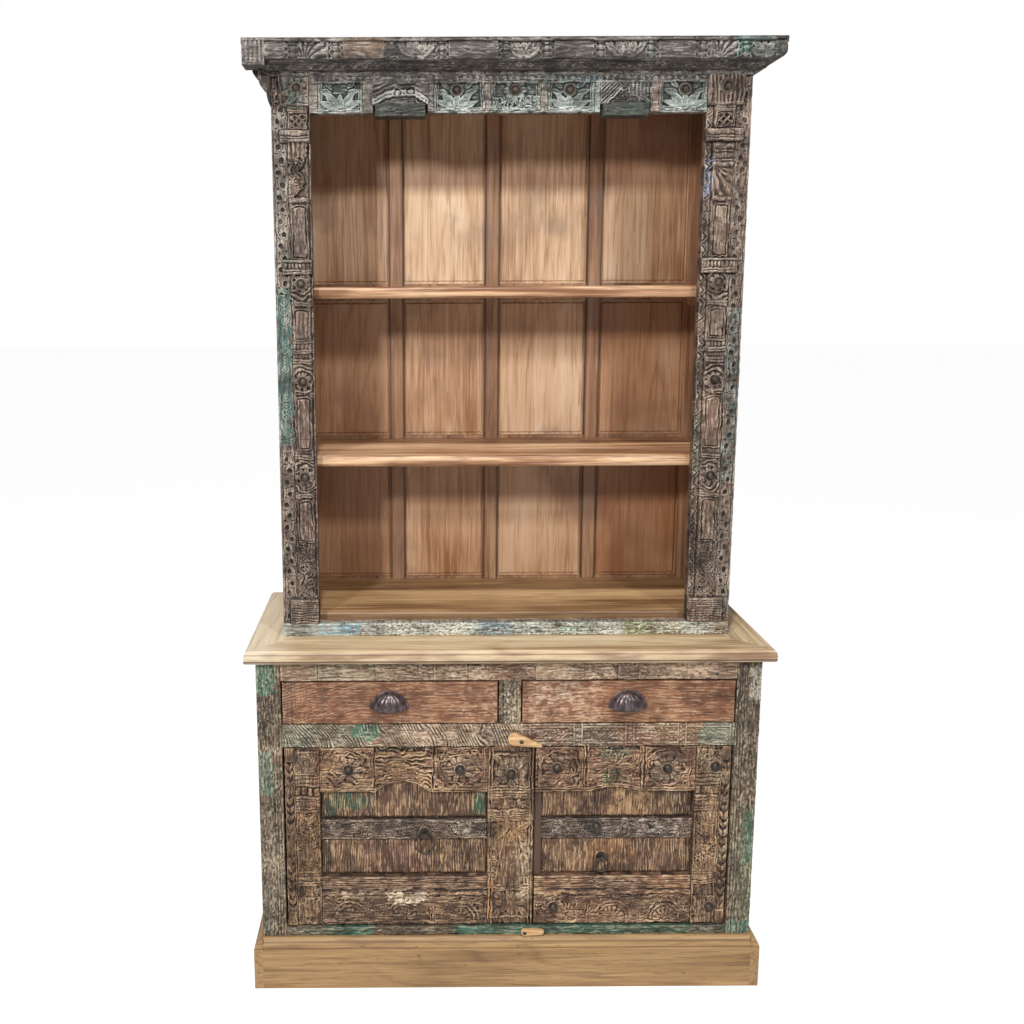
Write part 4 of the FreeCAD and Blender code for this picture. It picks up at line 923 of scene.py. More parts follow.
# Bottom rails: a sunk plain band under the panel, a worn pale arris, and a row of half-round fans between upright
# dividers.
for hand, x0, x1 in (("left", -stile_inner, post_left), ("right", 64, stile_inner)):
    gx, gz = grid(x0, x1, door_foot, foot_high, carving_step)
    x, z = hand_cut(gx, gz, 5.5, 110)
    pitch = (x1 - x0) / 3
    local = ((x - x0) % pitch) - pitch / 2
    fans = highest(fan(local, z, 0, 158, 46, 7), paired(local, z, 0, (58, 212, 34, 15, 208), (60, 160, 30, 13, 140)))
    fans = highest(fans, swell(np.abs(local) - pitch / 2, -3, 1.5), 0.6 * foliage(x, z, 13, 4, 116))
    if hand == "right":
        r = np.hypot(x - 109, (z - 186) * 1.08)
        arch = highest(swell(r, 37, 2.4), swell(r, 30, 1.8)) * (z > 180)
        arch = highest(arch, flower(x, z, 109, 189, 25, 9, 0.48), 0.6 * foliage(x, z, 12, 4, 117) * (r > 42))
        fans = np.where(x < 166, highest(arch, frame_lines(x, z, 64, 168, 120, 226, 3)), fans)
    rise = highest(fans, band(z, 219, 223, 1), band(z, 212, 213.5, 1), band(z, 150, 154, 1.2))
    depth = 5.6 * (1 - rubbed(rise, gx, gz, 111, 0.15)) + 0.9 * chiselled(gx, gz, "X", 114)
    shelf = ease(224, 228, gz + 2.5 * (weather(gx, gz, 30, 118) - 0.5))
    level = 7.5 + 0.9 * np.sin(gz * 1.2 + 4 * weather(gx / 5, gz, 14, 119)) + 1.2 * chiselled(gx, gz, "X", 120)
    depth = depth * (1 - shelf) + shelf * level
    worn = [(-257, 20, 214), (-213, 22, 212), (-345, 34, 219)] if hand == "left" else [(130, 40, 221), (370, 34, 222)]
    for px, wide, pz in worn:
        depth = (depth + 3.0 * np.exp(-(((gx - px) / wide) ** 2 + ((gz - pz) / 7) ** 2))
            * (0.6 + 0.8 * weather(gx, gz, 8, 121)))
    depth = seats(depth, gx, gz, ((109, 189, boss_seat),) if hand == "right" else ())
    spots = [
        (-276, -240, 204, 222, (232, 212, 184), 0.66), (-232, -194, 204, 220, (232, 212, 184), 0.64),
        (-384, -316, 212, 224, (222, 194, 160), 0.56), (-430, -45, 228, 262, (98, 68, 56), 0.5),
        (-180, -120, 165, 205, gold, 0.42)]
    if hand == "right":
        spots = [
            (64, 175, 228, 262, (134, 92, 64), 0.55), (320, 430, 228, 262, (134, 92, 58), 0.55),
            (180, 300, 228, 262, (92, 70, 60), 0.5), (64, 160, 218, 226, pale_tan, 0.55),
            (310, 400, 150, 215, (96, 84, 66), 0.45)]
    paint = coat(gx, gz, (plain_brown if hand == "right" else dark_brown, 0.46), spots, 115)
    carved_board(hand + "_door_foot", [hand + "_door_bottom_rail"], hand + "_door",
        left_foot_wood if hand == "left" else door_wood, gx, gz, door_face, depth, door_back, paint)

# Mid rails: dark weathered bars with a row of rosettes, sunk behind the face of the door.
for hand, x0, x1, places in (("left", -stile_inner, post_left, (-395, -269, -108)),
        ("right", 80, stile_inner, (128, 287, 350))):
    gx, gz = grid(x0, x1, bar_low, bar_high, 1.25)
    x, z = hand_cut(gx, gz, 5.0, 124)
    rise = highest(band(z, 356, 358.5, 1), band(z, 397, 400, 1), 0.65 * foliage(x, z, 11, 4, 126))
    for px in places:
        r = np.hypot(x - px, z - 379)
        rise = np.where(r < 24, highest(flower(x, z, px, 379, 20, 7, 0.4), 0.9 * swell(r, 21.5, 1.5)), rise)
        rise = highest(rise, 0.9 * paired(x, z, px, (24, 379, 30, 19, 0)))
    depth = 4.6 * (1 - rubbed(rise, gx, gz, 121)) + 0.8 * chiselled(gx, gz, "X", 122)
    depth = seats(depth, gx, gz, ((-190, 371, 13.5),) if hand == "left" else ((207, 385, boss_seat),))
    spots = [
        (-128, -86, 360, 398, (206, 196, 184), 0.46), (-70, -45, 354, 403, (50, 40, 38), 0.6),
        (-420, -240, 360, 398, (92, 82, 74), 0.42)]
    if hand == "right":
        spots = [
            (262, 400, 362, 398, (210, 196, 182), 0.46), (180, 236, 354, 403, (56, 46, 52), 0.6),
            (108, 150, 362, 396, (170, 158, 146), 0.44)]
    paint = coat(gx, gz, ((84, 62, 48), 0.42), spots, 123)
    carved_board(hand + "_door_bar", [hand + "_door_mid_rail"], hand + "_door", slate_wood, gx, gz,
        bar_face, depth, door_back, paint, arris=2.6)

# Door panels: upright planks split along the grain into ridges, with pale scratches and a little green paint in the
# corners.
panel_wood = old_finish("panel_wood", (43, 28, 20), (86, 59, 43), (112, 80, 58), (202, 168, 130), "Z", flake=190.0,
    dust=0.85, scratch=0.7, dirt=0.85)


def ridged(x, z, seed, slant):
    """Depth of split planks: wavy upright ridges that come and go, deepest at the seams between planks 72 wide and
    along the rim, where the planks run down into the frame's groove."""
    bent = x + slant * (z - 300) + 7 * weather(x / 2, z / 4, 12, seed)
    ridge = 0.5 + 0.5 * np.sin(bent * 1.15 + 4 * weather(x, z / 5, 9, seed + 1))
    lively = ease(0.38, 0.62, 0.6 * weather(x, z, 48, seed + 2) + 0.4 * weather(x, z / 2, 14, seed + 4))
    seam = np.abs(((x + 12) % 72) - 36)
    depth = 2.6 * ridge ** 1.5 * (0.12 + 0.88 * lively) + 1.3 * weather(x, z / 7, 2.8, seed + 3)
    depth = depth + 1.2 * weather(x, z, 40, seed + 5)
    depth = depth + 2.0 * swell(seam - 35.5 + 1.5 * weather(x, z, 20, seed + 6), 0, 0.9)
    return np.minimum(depth + 4.5 * swell(rim_gap(x, z), 0, 5), 8.5)


for hand, x0, x1 in (("left", -stile_inner, post_left), ("right", 80, stile_inner)):
    x, z = grid(x0, x1, foot_high, bar_low, 1.4)
    slant = 0.0 if hand == "left" else 0.6 * band(x, 95, 170, 30)
    # Painted shadow: the dark strips along the planks' outer edges, next to the hanging stiles (x 410 to 430 on the
    # left, 396 to 430 on the right), stand for the shade where the planks run into the stile.
    lower = [
        (-430, -410, 262, 354, (46, 36, 30), 0.6), (-330, -190, 268, 354, (98, 62, 52), 0.56),
        (-90, -45, 262, 300, (86, 80, 66), 0.5), (-400, -340, 268, 300, pale_tan, 0.4),
        (-120, -50, 310, 354, pale_tan, 0.36)]
    if hand == "right":
        lower = [
            (120, 180, 290, 354, pale_tan, 0.4), (300, 380, 262, 354, (92, 62, 52), 0.52),
            (190, 300, 290, 354, (136, 92, 56), 0.52), (396, 430, 262, 354, dark_brown, 0.55)]
    depth = seats(ridged(x, z, 132, slant), x, z, ((222, 305, 14),) if hand == "right" else ())
    carved_board(hand + "_lower_planks", [hand + "_door_panels"], hand + "_door", panel_wood, x, z,
        panel_face, depth, panel_back, coat(x, z, (plain_brown, 0.4), lower, 131))
    x, share, top = arched_grid(x0, x1, head_low, 560, *arches[hand], 1.4)
    z = bar_high + (share - top) / (560 - top) * (top - bar_high)
    # Painted shadow: the dark strips along the planks' outer edges, next to the hanging stiles, as below.
    upper = [
        (-430, -322, 432, 486, (30, 84, 64), 0.78), (-430, -396, 404, 484, (28, 70, 54), 0.76),
        (-350, -310, 455, 482, (66, 78, 60), 0.5), (-72, -45, 412, 486, (34, 84, 66), 0.74),
        (-430, -412, 403, 470, (30, 30, 26), 0.5)]
    if hand == "right":
        upper = [
            (90, 235, 410, 490, (142, 106, 76), 0.46), (240, 330, 410, 490, (178, 140, 96), 0.5),
            (370, 396, 420, 480, (130, 122, 96), 0.46), (400, 430, 403, 480, (70, 50, 42), 0.55)]
    carved_board(hand + "_upper_planks", [], hand + "_door", panel_wood, x, z, panel_face,
        ridged(x, z, 134, 0.0), panel_back, coat(x, z, (plain_brown, 0.4), upper, 133))
meeting_wood = plank_finish("meeting_wood", (40, 29, 22), (74, 54, 40), (98, 74, 56), "Z", gloss=0.65)
dress(meeting_wood, "right_door_meeting_stile")

# Iron on the doors and frame: nail bosses, staples, rings, pivot pins and the nails of the turn buttons.
# Forged iron, black with a dull oiled sheen and a little rust.
forged_iron = iron_finish("forged_iron", (46, 40, 36), (94, 84, 74), 0.5)
dress(forged_iron, "left_door_iron", "right_door_iron", "left_ring", "right_ring", "left_door_pivots",
    "right_door_pivots", "button_nails", "frame_bosses")

# Turn buttons: flat drops of pale bare wood, whittled round at the edges, each turning on its nail.
button_wood = plank_finish("button_wood", (150, 108, 66), (204, 166, 116), (234, 212, 176), "X", knots=24.0, gloss=0.6)


def turn_button(name, node, px, pz, front, back, head, reach, tip, tail, tilt):
    """A drop round a nail hole: its outline is two circles joined by their tangents, seen from the pivot by angle, and
    a rounded section is carried round it from the hole's edge over the front, the rim and the back."""
    way, section = np.meshgrid(np.linspace(0, 2 * np.pi, 241)[:-1], np.arange(12))
    flare = math.acos((head - tip) / (reach + tail))
    lean = np.linspace(flare, 2 * np.pi - flare, 60)
    nose = np.linspace(-flare, flare, 24)
    side = np.linspace(0, 1, 40)
    side_x = (-reach + head * math.cos(flare)) * (1 - side) + (tail + tip * math.cos(flare)) * side
    side_z = math.sin(flare) * (head * (1 - side) + tip * side)
    edge_x = np.concatenate([-reach + head * np.cos(lean), side_x, tail + tip * np.cos(nose), side_x])
    edge_z = np.concatenate([head * np.sin(lean), side_z, tip * np.sin(nose), -side_z])
    angle = np.arctan2(edge_z, edge_x) % (2 * np.pi)
    order = np.argsort(angle)
    rim = np.interp(way, angle[order], np.hypot(edge_x, edge_z)[order], period=2 * np.pi)
    share = np.array([0, 0.3, 0.6, 0.82, 0.94, 0.99, 0.99, 0.94, 0.82, 0.6, 0.3, 0])[section]
    level = np.array([0.97, 1, 0.97, 0.9, 0.78, 0.6, 0.3, 0.1, 0.02, 0, 0, 0])[section]
    radius = 2.06 + share * (rim - 2.06)
    turned = way - math.radians(tilt)
    points = np.stack([px + radius * np.cos(turned), back + level * (front - back), pz + radius * np.sin(turned)],
        -1).reshape(-1, 3)
    index = np.arange(way.size).reshape(way.shape)
    ahead, beside = np.roll(index, -1, 0), np.roll(index, -1, 1)
    both = np.roll(ahead, -1, 1)
    faces = np.stack([index, ahead, both, beside], -1).reshape(-1, 4).tolist()
    piece = put_in(name, points, faces, node, button_wood, np.ones(len(faces), bool))
    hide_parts(node)


turn_button("upper_turn_button", "top_button", 29.0, 604.0, -223.3, -210.3, 15.0, 16.0, 3.5, 46.0, 15.0)
turn_button("lower_turn_button", "bottom_button", 42.0, 131.5, -221.3, -210.3, 8.5, 0.0, 6.5, 40.0, 0.0)

# Foot rail of the upper case: an old plank with whitewash over blue, worn in flecks along its length.
# It lies on the base top, under the jambs.
frame_face, frame_back = -130, -96
half_case, jamb_low, jamb_top, base_height = 512, 854, 2068, 824
sill_wood = old_finish("sill_wood", (62, 50, 40), (128, 104, 82), (164, 142, 116), (222, 220, 204), "X", flake=300.0,
    dust=1.0, grime=0.3)
x, z = grid(-half_case, half_case, base_height, jamb_low, 1.6)
depth = 0.7 * chiselled(x, z, "X", 141) + 1.8 * ease(0.5, 0.72, weather(x / 1.4, z, 2.6, 142)) * ease(-420, -300, x)
sky = (112, 156, 172)
paint = coat(x, z, ((200, 208, 198), 0.53), [
    (-512, -410, 820, 860, (152, 164, 160), 0.54), (-430, -380, 820, 846, sky, 0.52),
    (-395, -340, 828, 850, sky, 0.56), (-340, -250, 820, 840, (170, 190, 190), 0.5), (-60, 10, 826, 852, sky, 0.53),
    (20, 80, 820, 842, (150, 180, 180), 0.5), (120, 200, 820, 860, (140, 176, 168), 0.5),
    (270, 345, 822, 858, (146, 164, 110), 0.52), (330, 400, 820, 860, (170, 178, 150), 0.48),
    (480, 512, 820, 860, (84, 66, 54), 0.3)], 143)
carved_board("painted_foot_rail", ["foot_rail"], "cabinet", sill_wood, x, z, frame_face, depth,
    frame_back, paint)

# Jambs: the uprights of an old door frame. Between a strip of scrollwork and an edging of leaves stands a column of
# pilasters, rosettes with iron bosses, a leaf bracket, a lattice and a corner flower, all carved from one piece and
# long weathered.
proud_face, strip_face = -136, -125
jamb_inner = 416
frame_look = dict(flake=230.0, dust=0.7, scratch=0.3, dirt=0.8)
frame_wood = old_finish("frame_wood", (44, 32, 25), (94, 73, 60), (120, 97, 82), (204, 188, 170), "Z", **frame_look)


def pierced(u, z, middle, pitch, start):
    """A flat strip of scrollwork: in each pitch a comma-shaped hole with a groove round it, turned left and then
    right, and a small three-sided hole where two turns meet."""
    share = (z - start) / pitch
    number = np.floor(share)
    hand = 1 - 2 * (number % 2)
    off = (share - number - 0.5) * pitch
    r = np.hypot(u - middle - 2.2 * hand, off / 1.35)
    turn = np.arctan2(off, (u - middle - 2.2 * hand) * hand)
    hole = 1 - ease(3.0, 5.4, r + 2.0 * np.sin(turn - 0.6))
    corner = 1 - ease(1.6, 3.6, np.hypot(u - middle + 7.5 * hand, (np.abs(off) - 0.5 * pitch) * 0.9))
    groove = swell(r - 9.2, 1.4 * turn / np.pi, 1.1)
    return 1 - highest(0.95 * highest(hole, corner), 0.3 * groove)


def pilaster(u, z, low, high, flutes=0):
    """A short flat pilaster: a raised border with a round head, and a crowned or fluted field inside it."""
    off = np.minimum(np.minimum(u - 20, 59 - u), z - low)
    off = np.minimum(off, high - 12 + half_round(u, 39.5, 19.5) * 10 - z)
    field = ease(5, 7.5, off) * (0.66 + 0.2 * half_round(u, 39.5, 15))
    if flutes:
        field = field * (0.72 + 0.28 * np.abs(np.cos((u - 39.5) * np.pi / flutes)))
    return np.where((z > low) & (z < high), highest(swell(off, 2.4, 1.4), field), 0)


boss_line, strip_edge, block_edge = 39.5, 62, 79


def boss_cluster(u, z, cz, seed):
    """Worn foliage round an iron boss: petals in a ring, then leaf lines that flow round them, between two sets of
    reeds."""
    r = np.hypot(u - boss_line, z - cz)
    rise = np.where(r > 19, 0.9 * (0.5 + 0.5 * np.cos(2 * np.pi * (r / 10 + 1.3 * weather(u, z, 12, seed)))),
        flower(u, z, boss_line, cz, 21, 7, 0.55))
    reeds = highest(mouldings(z, (cz - 50, cz - 45, cz - 39)), mouldings(z, (cz + 39, cz + 45, cz + 50)))
    return np.where(np.abs(z - cz) > 38, reeds, rise)


def jamb_relief(u, z, hand):
    """Rise of a jamb's carving by the distance from its inner edge and the height: 1 at the face, 0 at the ground, and
    less where wood is cut away."""
    lines = highest(band(u, 62.5, 64.5, 0.8), band(u, 92, 95, 0.8))
    strip = np.minimum(pierced(u, z, 78.5, 26.0, 860), 1 - 0.7 * (swell(u, 65.5, 0.9) + swell(u, 91.5, 0.9)))
    if hand == "left":
        lozenge = np.abs((u - 78.5) / 10) + np.abs((((z - 1195) / 21) % 1) - 0.5) / 0.46
        chain = 0.6 + 0.3 * highest(swell(lozenge, 0.85, 0.16), swell(lozenge, 0, 0.32))
        strip = np.where((z > 1270) & (z < 1600), highest(chain, lines), strip)
        lobes = np.sqrt(np.clip(1 - ((((z - 870) / 34) % 1 - 0.5) / 0.45) ** 2 - ((u - 8) / 8) ** 2, 0, 1))
        edging = np.where(z > 1500, lobes, 0.45 + 0.55 * highest(band(u, 1.5, 3.5, 1), band(u, 11, 13, 1)))
        inner = (np.interp(z, (1800, 1812, 1826, 1838, 1850, 1862, 1874, 1890, 1920),
            (54, 45, 29, 23, 27, 37, 27, 21, 20)) + 2.4 * np.abs(np.sin(z * np.pi / 11)))
        rim = swell(u - inner, 2.5, 1.8)
        veins = np.where(z > 1888, 0.75 + 0.25 * np.cos(u * np.pi / 5),
            highest(rim, 0.9 * foliage(u, z, 15, 4, 157) * (u - inner > 5)))
        bracket = np.where(u > inner, veins, -0.5)
    else:
        v = ((z - 866) / 29) % 1.0
        tip = np.clip(1 - np.abs(2 * v - 1) - (u - 2) / 15, -1, 1)
        edging = highest(swell(tip, 0.12, 0.1), ease(0.4, 0.6, tip))
        edging = highest(edging * band(u, 2, 15, 1), band(u, 0, 1.6, 0.6))
        ray = np.arctan2(1872 - z, u - 16)
        rays = (0.5 + 0.5 * np.cos(ray * 20)) ** 0.7 * ease(0.2, 0.5, ray)
        bracket = np.where(z > 1866, mouldings(z, (1866, 1878, 1883, 1897, 1903, 1917)), rays)
    bracket = np.where(z < 1806, mouldings(z, (1796, 1806)), bracket)
    lattice = highest(np.abs(np.cos((u + z) * np.pi / 15)), np.abs(np.cos((u - z) * np.pi / 15))) ** 5
    lattice = highest(lattice * band(u, 25, 55, 1) * band(z, 1954, 1978, 1),
        frame_lines(u, z, 18, 62, 1947, 1986, 3.5))
    lattice = highest(lattice, mouldings(z, (1984, 1989, 1995)) * (z > 1984))
    r = np.hypot(u - boss_line, z - 2031)
    if hand == "left":
        corner = highest(flower(u, z, boss_line, 2031, 22, 7, 0.6),
            leaves(u, z, (boss_line, 2020, 34, 17, 215), (boss_line, 2018, 34, 17, 325),
                (boss_line, 2022, 36, 15, 180), (boss_line, 2022, 36, 15, 0)))
    else:
        corner = 0.5 + 0.4 * np.cos(2 * np.pi * (u / 8.5 + 0.5 * swell(r, 0, 22) + 0.9 * weather(u, z / 2, 16, 158)))
        corner = highest(corner, 0.9 * swell(r, 16, 2.6))
    corner = highest(corner, frame_lines(u, z, 3, 77, 1996, 2070, 2.2))
    beads = half_round(((u - 19) / 8.2) % 1, 0.5, 0.46)
    capital = highest(mouldings(z, (1643, 1649, 1654, 1668, 1675)) * ((z < 1654) | (z > 1668)),
        beads * mouldings(z, (1654, 1668)))
    ring = highest(beads * mouldings(z, (1482, 1494)),
        mouldings(z, (1472, 1477, 1482, 1494, 1500)) * ((z < 1482) | (z > 1494)))
    leafage = highest(coil(u, z, 31, 1012, 15, 1), coil(u, z, 48, 984, 15, -1), coil(u, z, 31, 952, 15, 1),
        0.85 * foliage(u, z, 14, 5, 159))
    leafage = highest(leafage, leaves(u, z, (40, 915, 40, 18, 60), (38, 1040, 40, 18, 245)))
    foot = mouldings(z, (854, 862, 867, 874, 879, 886, 890, 897, 901, 906, 911))
    steps = [
        (1994, corner), (1946, lattice), (1920, mouldings(z, (1921, 1928, 1933, 1946))), (1796, bracket),
        (1675, pilaster(u, z, 1675, 1795)), (1643, capital), (1573, boss_cluster(u, z, 1623, 160)),
        (1500, pilaster(u, z, 1500, 1572, 9)), (1472, ring), (1381, boss_cluster(u, z, 1410, 163)),
        (1256, pilaster(u, z, 1257, 1380, 13 if hand == "left" else 0)), (1146, boss_cluster(u, z, 1195, 166)),
        (1042, pilaster(u, z, 1043, 1145, 11)), (911, leafage)]
    column = np.select([z > low for low, rise in steps], [rise for low, rise in steps], foot)
    wide = (z < 911) | ((z > 1643) & (z < 1675.3)) | ((z > 1921) & (z < 1946)) | (z > 1995)
    return np.where(wide & (u < block_edge), np.where(u < 1, 0, column),
        np.where(u < 17, edging, np.where(u < strip_edge, column, strip)))


jamb_blocks = ((0, 911), (1643.1, 1675.2), (1921.1, 1946), (1995.2, 2055.8))
for hand, side, edge, column in (("left", -1, 14, 19), ("right", 1, 0, 17)):
    gx, gz = grid(*sorted((side * (jamb_inner + edge), side * half_case)), jamb_low, jamb_top, carving_step)
    x, z = hand_cut(gx, gz, 4.0, 150 + side)
    near = side * gx - jamb_inner
    proud = reduce(np.logical_or, [(gz > low) & (gz < high) for low, high in jamb_blocks])
    proud = proud & (near > edge + 1) & (near < block_edge)
    face = np.where(proud, proud_face, np.where((near > column) & (near < strip_edge), frame_face, strip_face))
    rise = jamb_relief(side * x - jamb_inner, z, hand)
    rise = rubbed(rise, gx, gz, 151 + side, 0.45) + np.minimum(rise, 0)
    deep = np.where((near > column) & (near < strip_edge) | proud, 8.5, 7.0)
    depth = deep * (1 - rise) + 0.6 * chiselled(gx, gz, "Z", 152 + side)
    depth = depth + 4.0 * (swell(near, column, 1.5) + 0.7 * swell(near, strip_edge, 1.2)) * (1 - proud)
    depth = seats(depth, near, gz, [(boss_line, pz, boss_seat) for pz in (1195.1, 1410.0, 1623.1, 2031.0)])
    spots = {
        "left": [
            (-512, -480, 1270, 1610, (52, 102, 96), 0.64), (-496, -430, 850, 911, (98, 70, 56), 0.56),
            (-480, -440, 1996, 2070, (92, 116, 106), 0.54), (-512, -478, 1620, 1990, (98, 104, 99), 0.52),
            (-440, -430, 1800, 1960, (60, 64, 58), 0.55), (-478, -433, 1258, 1381, (102, 76, 62), 0.55),
            (-512, -478, 860, 1240, (74, 62, 54), 0.5), (-478, -433, 1500, 1570, (102, 78, 66), 0.5),
            (-478, -433, 1680, 1790, (100, 80, 70), 0.55), (-474, -436, 1800, 1916, (150, 138, 124), 0.42),
            (-478, -433, 1040, 1146, (98, 68, 52), 0.55), (-478, -433, 860, 1040, (88, 68, 54), 0.5)],
        "right": [
            (480, 512, 1180, 1560, (60, 100, 98), 0.5), (416, 496, 850, 911, (108, 80, 64), 0.56),
            (416, 432, 1810, 1880, (128, 148, 182), 0.52), (416, 432, 1200, 1330, (124, 132, 108), 0.5),
            (433, 478, 1680, 1790, (130, 104, 84), 0.52), (433, 478, 1258, 1381, (126, 92, 72), 0.54),
            (433, 478, 1050, 1146, (118, 88, 68), 0.52), (416, 432, 1400, 1780, (176, 168, 150), 0.42),
            (480, 512, 880, 1100, (84, 110, 106), 0.44), (440, 470, 1806, 1862, (140, 100, 84), 0.45),
            (433, 478, 1500, 1570, (116, 88, 74), 0.55)]}
    paint = coat(gx, gz, ((108, 88, 76), 0.48), spots[hand], 155 + side)
    paint[..., :3] *= np.interp(gz, (900, 2060), (0.78 if hand == "left" else 0.9, 0.74))[..., None]
    carved_board(hand + "_carved_jamb", [hand + "_jamb"], "cabinet", frame_wood, gx, gz, face, depth,
        frame_back, paint)

# Lintel: the head of the old door frame, a row of sunk lotus panels parted by fluted mullions, under a strip of small
# leaves. Two bracket blocks stand forward of it and drop below its lower edge.
leaf_face, bracket_back, corbel_face = -133, -118, -142
lotus_low, strip_low = 1986, 2041
lintel_wood = old_finish("lintel_wood", (36, 30, 26), (76, 67, 59), (104, 93, 83), (216, 214, 204), "X", **frame_look)


def small_leaves(x, z):
    """A strip of small upright leaves in round arches, one in each 29 along it."""
    v = np.abs(((x / 29.0) % 1.0) - 0.5) * 2
    arch = swell(np.hypot(v * 13, z - 2044), 14, 2.2) * (z > 2043)
    bud = np.sqrt(np.clip(1 - (v / 0.36) ** 2 - ((z - 2050) / 8) ** 2, 0, 1))
    dart = np.sqrt(np.clip(1 - ((1 - v) / 0.26) ** 2 - ((z - 2058) / 7) ** 2, 0, 1))
    return 0.4 + 0.5 * highest(0.8 * arch, bud, dart, band(z, 2041.5, 2043, 0.7), band(z, 2064, 2067, 0.7))


gx, gz = grid(-430, jamb_inner, 1980, jamb_top, 1.25)
x, z = hand_cut(gx, gz, 3.5, 160)
rise = np.full(x.shape, 0.9)
spots, hubs, pale = [], [], np.zeros(x.shape)
for x0, x1, cx, thick in ((-408.2, -319, -364, 0), (-161.1, -59, -116.1, 0), (-40, 57.9, 7.9, 1), (79, 174, 124, 0),
        (316.1, 411.9, 369, 0)):
    inside = (x > x0) & (x < x1) & (z > lotus_low) & (z < strip_low)
    lotus = highest(leaf(x, z, cx, 1990, 30, 19, 90), paired(x, z, cx, (4, 1991, 44, 20, 50), (4, 1990, 46, 17, 20)))
    lotus = highest(lotus, 0.8 * paired(x, z, cx, (18, 2020, 28, 13, 15), (16, 2030, 24, 10, 40)))
    if thick:
        lotus = highest(foliage(x, z, 12, 5, 164) * (z < 2014), flower(x, z, cx, 2027, 25, 8, 0.5))
    lotus = highest(lotus, frame_lines(x, z, x0, x1, lotus_low, 2060, 1.6, 1.2),
        0.8 * frame_lines(x, z, x0, x1, lotus_low, 2060, 5.4, 1.0))
    rise = np.where(inside, lotus - 0.25 * (lotus < 0.15), rise)
    pale = highest(pale, inside * ease(0.3, 0.6, lotus) * (1 - ease(2012, 2030, z)))
    rise = rise - 0.55 * swell(highest(x0 - x, x - x1, lotus_low - z), 3.2, 0.9) * (z < strip_low)
    spots += [
        (x0 - 20, x1 + 20, 1984, strip_low, (152, 138, 124), 0.5), (x0 - 4, x1 + 4, 1976, 1987, (176, 178, 170), 0.56),
        (x0 + 2, x1 - 2, 1987, strip_low, (40, 60, 54), 0.66)]
    hubs.append((cx, 2027, 13))
rise = np.where(z > strip_low, small_leaves(x, z), rise)
depth = 7.5 * (1 - rubbed(rise, gx, gz, 161, 0.6) - np.minimum(rise, 0)) + 0.5 * chiselled(gx, gz, "X", 162)
behind = (band(gx, -294, -179, 1) + band(gx, 189, 295, 1)) * (gz < 2040)
depth = highest(depth, 12 * behind)
for cx, cz, radius in hubs[1:]:
    seat = band(np.hypot(gx - cx, gz - cz), 0, radius, 2)
    depth = depth * (1 - seat) + 5.0 * seat
spots += [
    (150, 192, strip_low, 2062, (58, 104, 118), 0.5), (60, 150, strip_low, 2066, (62, 106, 104), 0.46),
    (260, 416, strip_low, 2066, (66, 104, 100), 0.42), (-300, -80, strip_low, 2066, (86, 74, 66), 0.5),
    (176, 188, 1980, strip_low, (156, 168, 158), 0.55), (297, 315, 1980, strip_low, (140, 112, 98), 0.55)]
face = np.where((gz > strip_low) & (gz < 2056), leaf_face, frame_face)
paint = coat(gx, gz, ((76, 70, 64), 0.48), spots, 163)
brush(paint, 0.85 * pale, (178, 192, 184), 0.54)
carved_board("carved_lintel", ["lintel"], "cabinet", lintel_wood, gx, gz, face, depth, frame_back,
    paint)
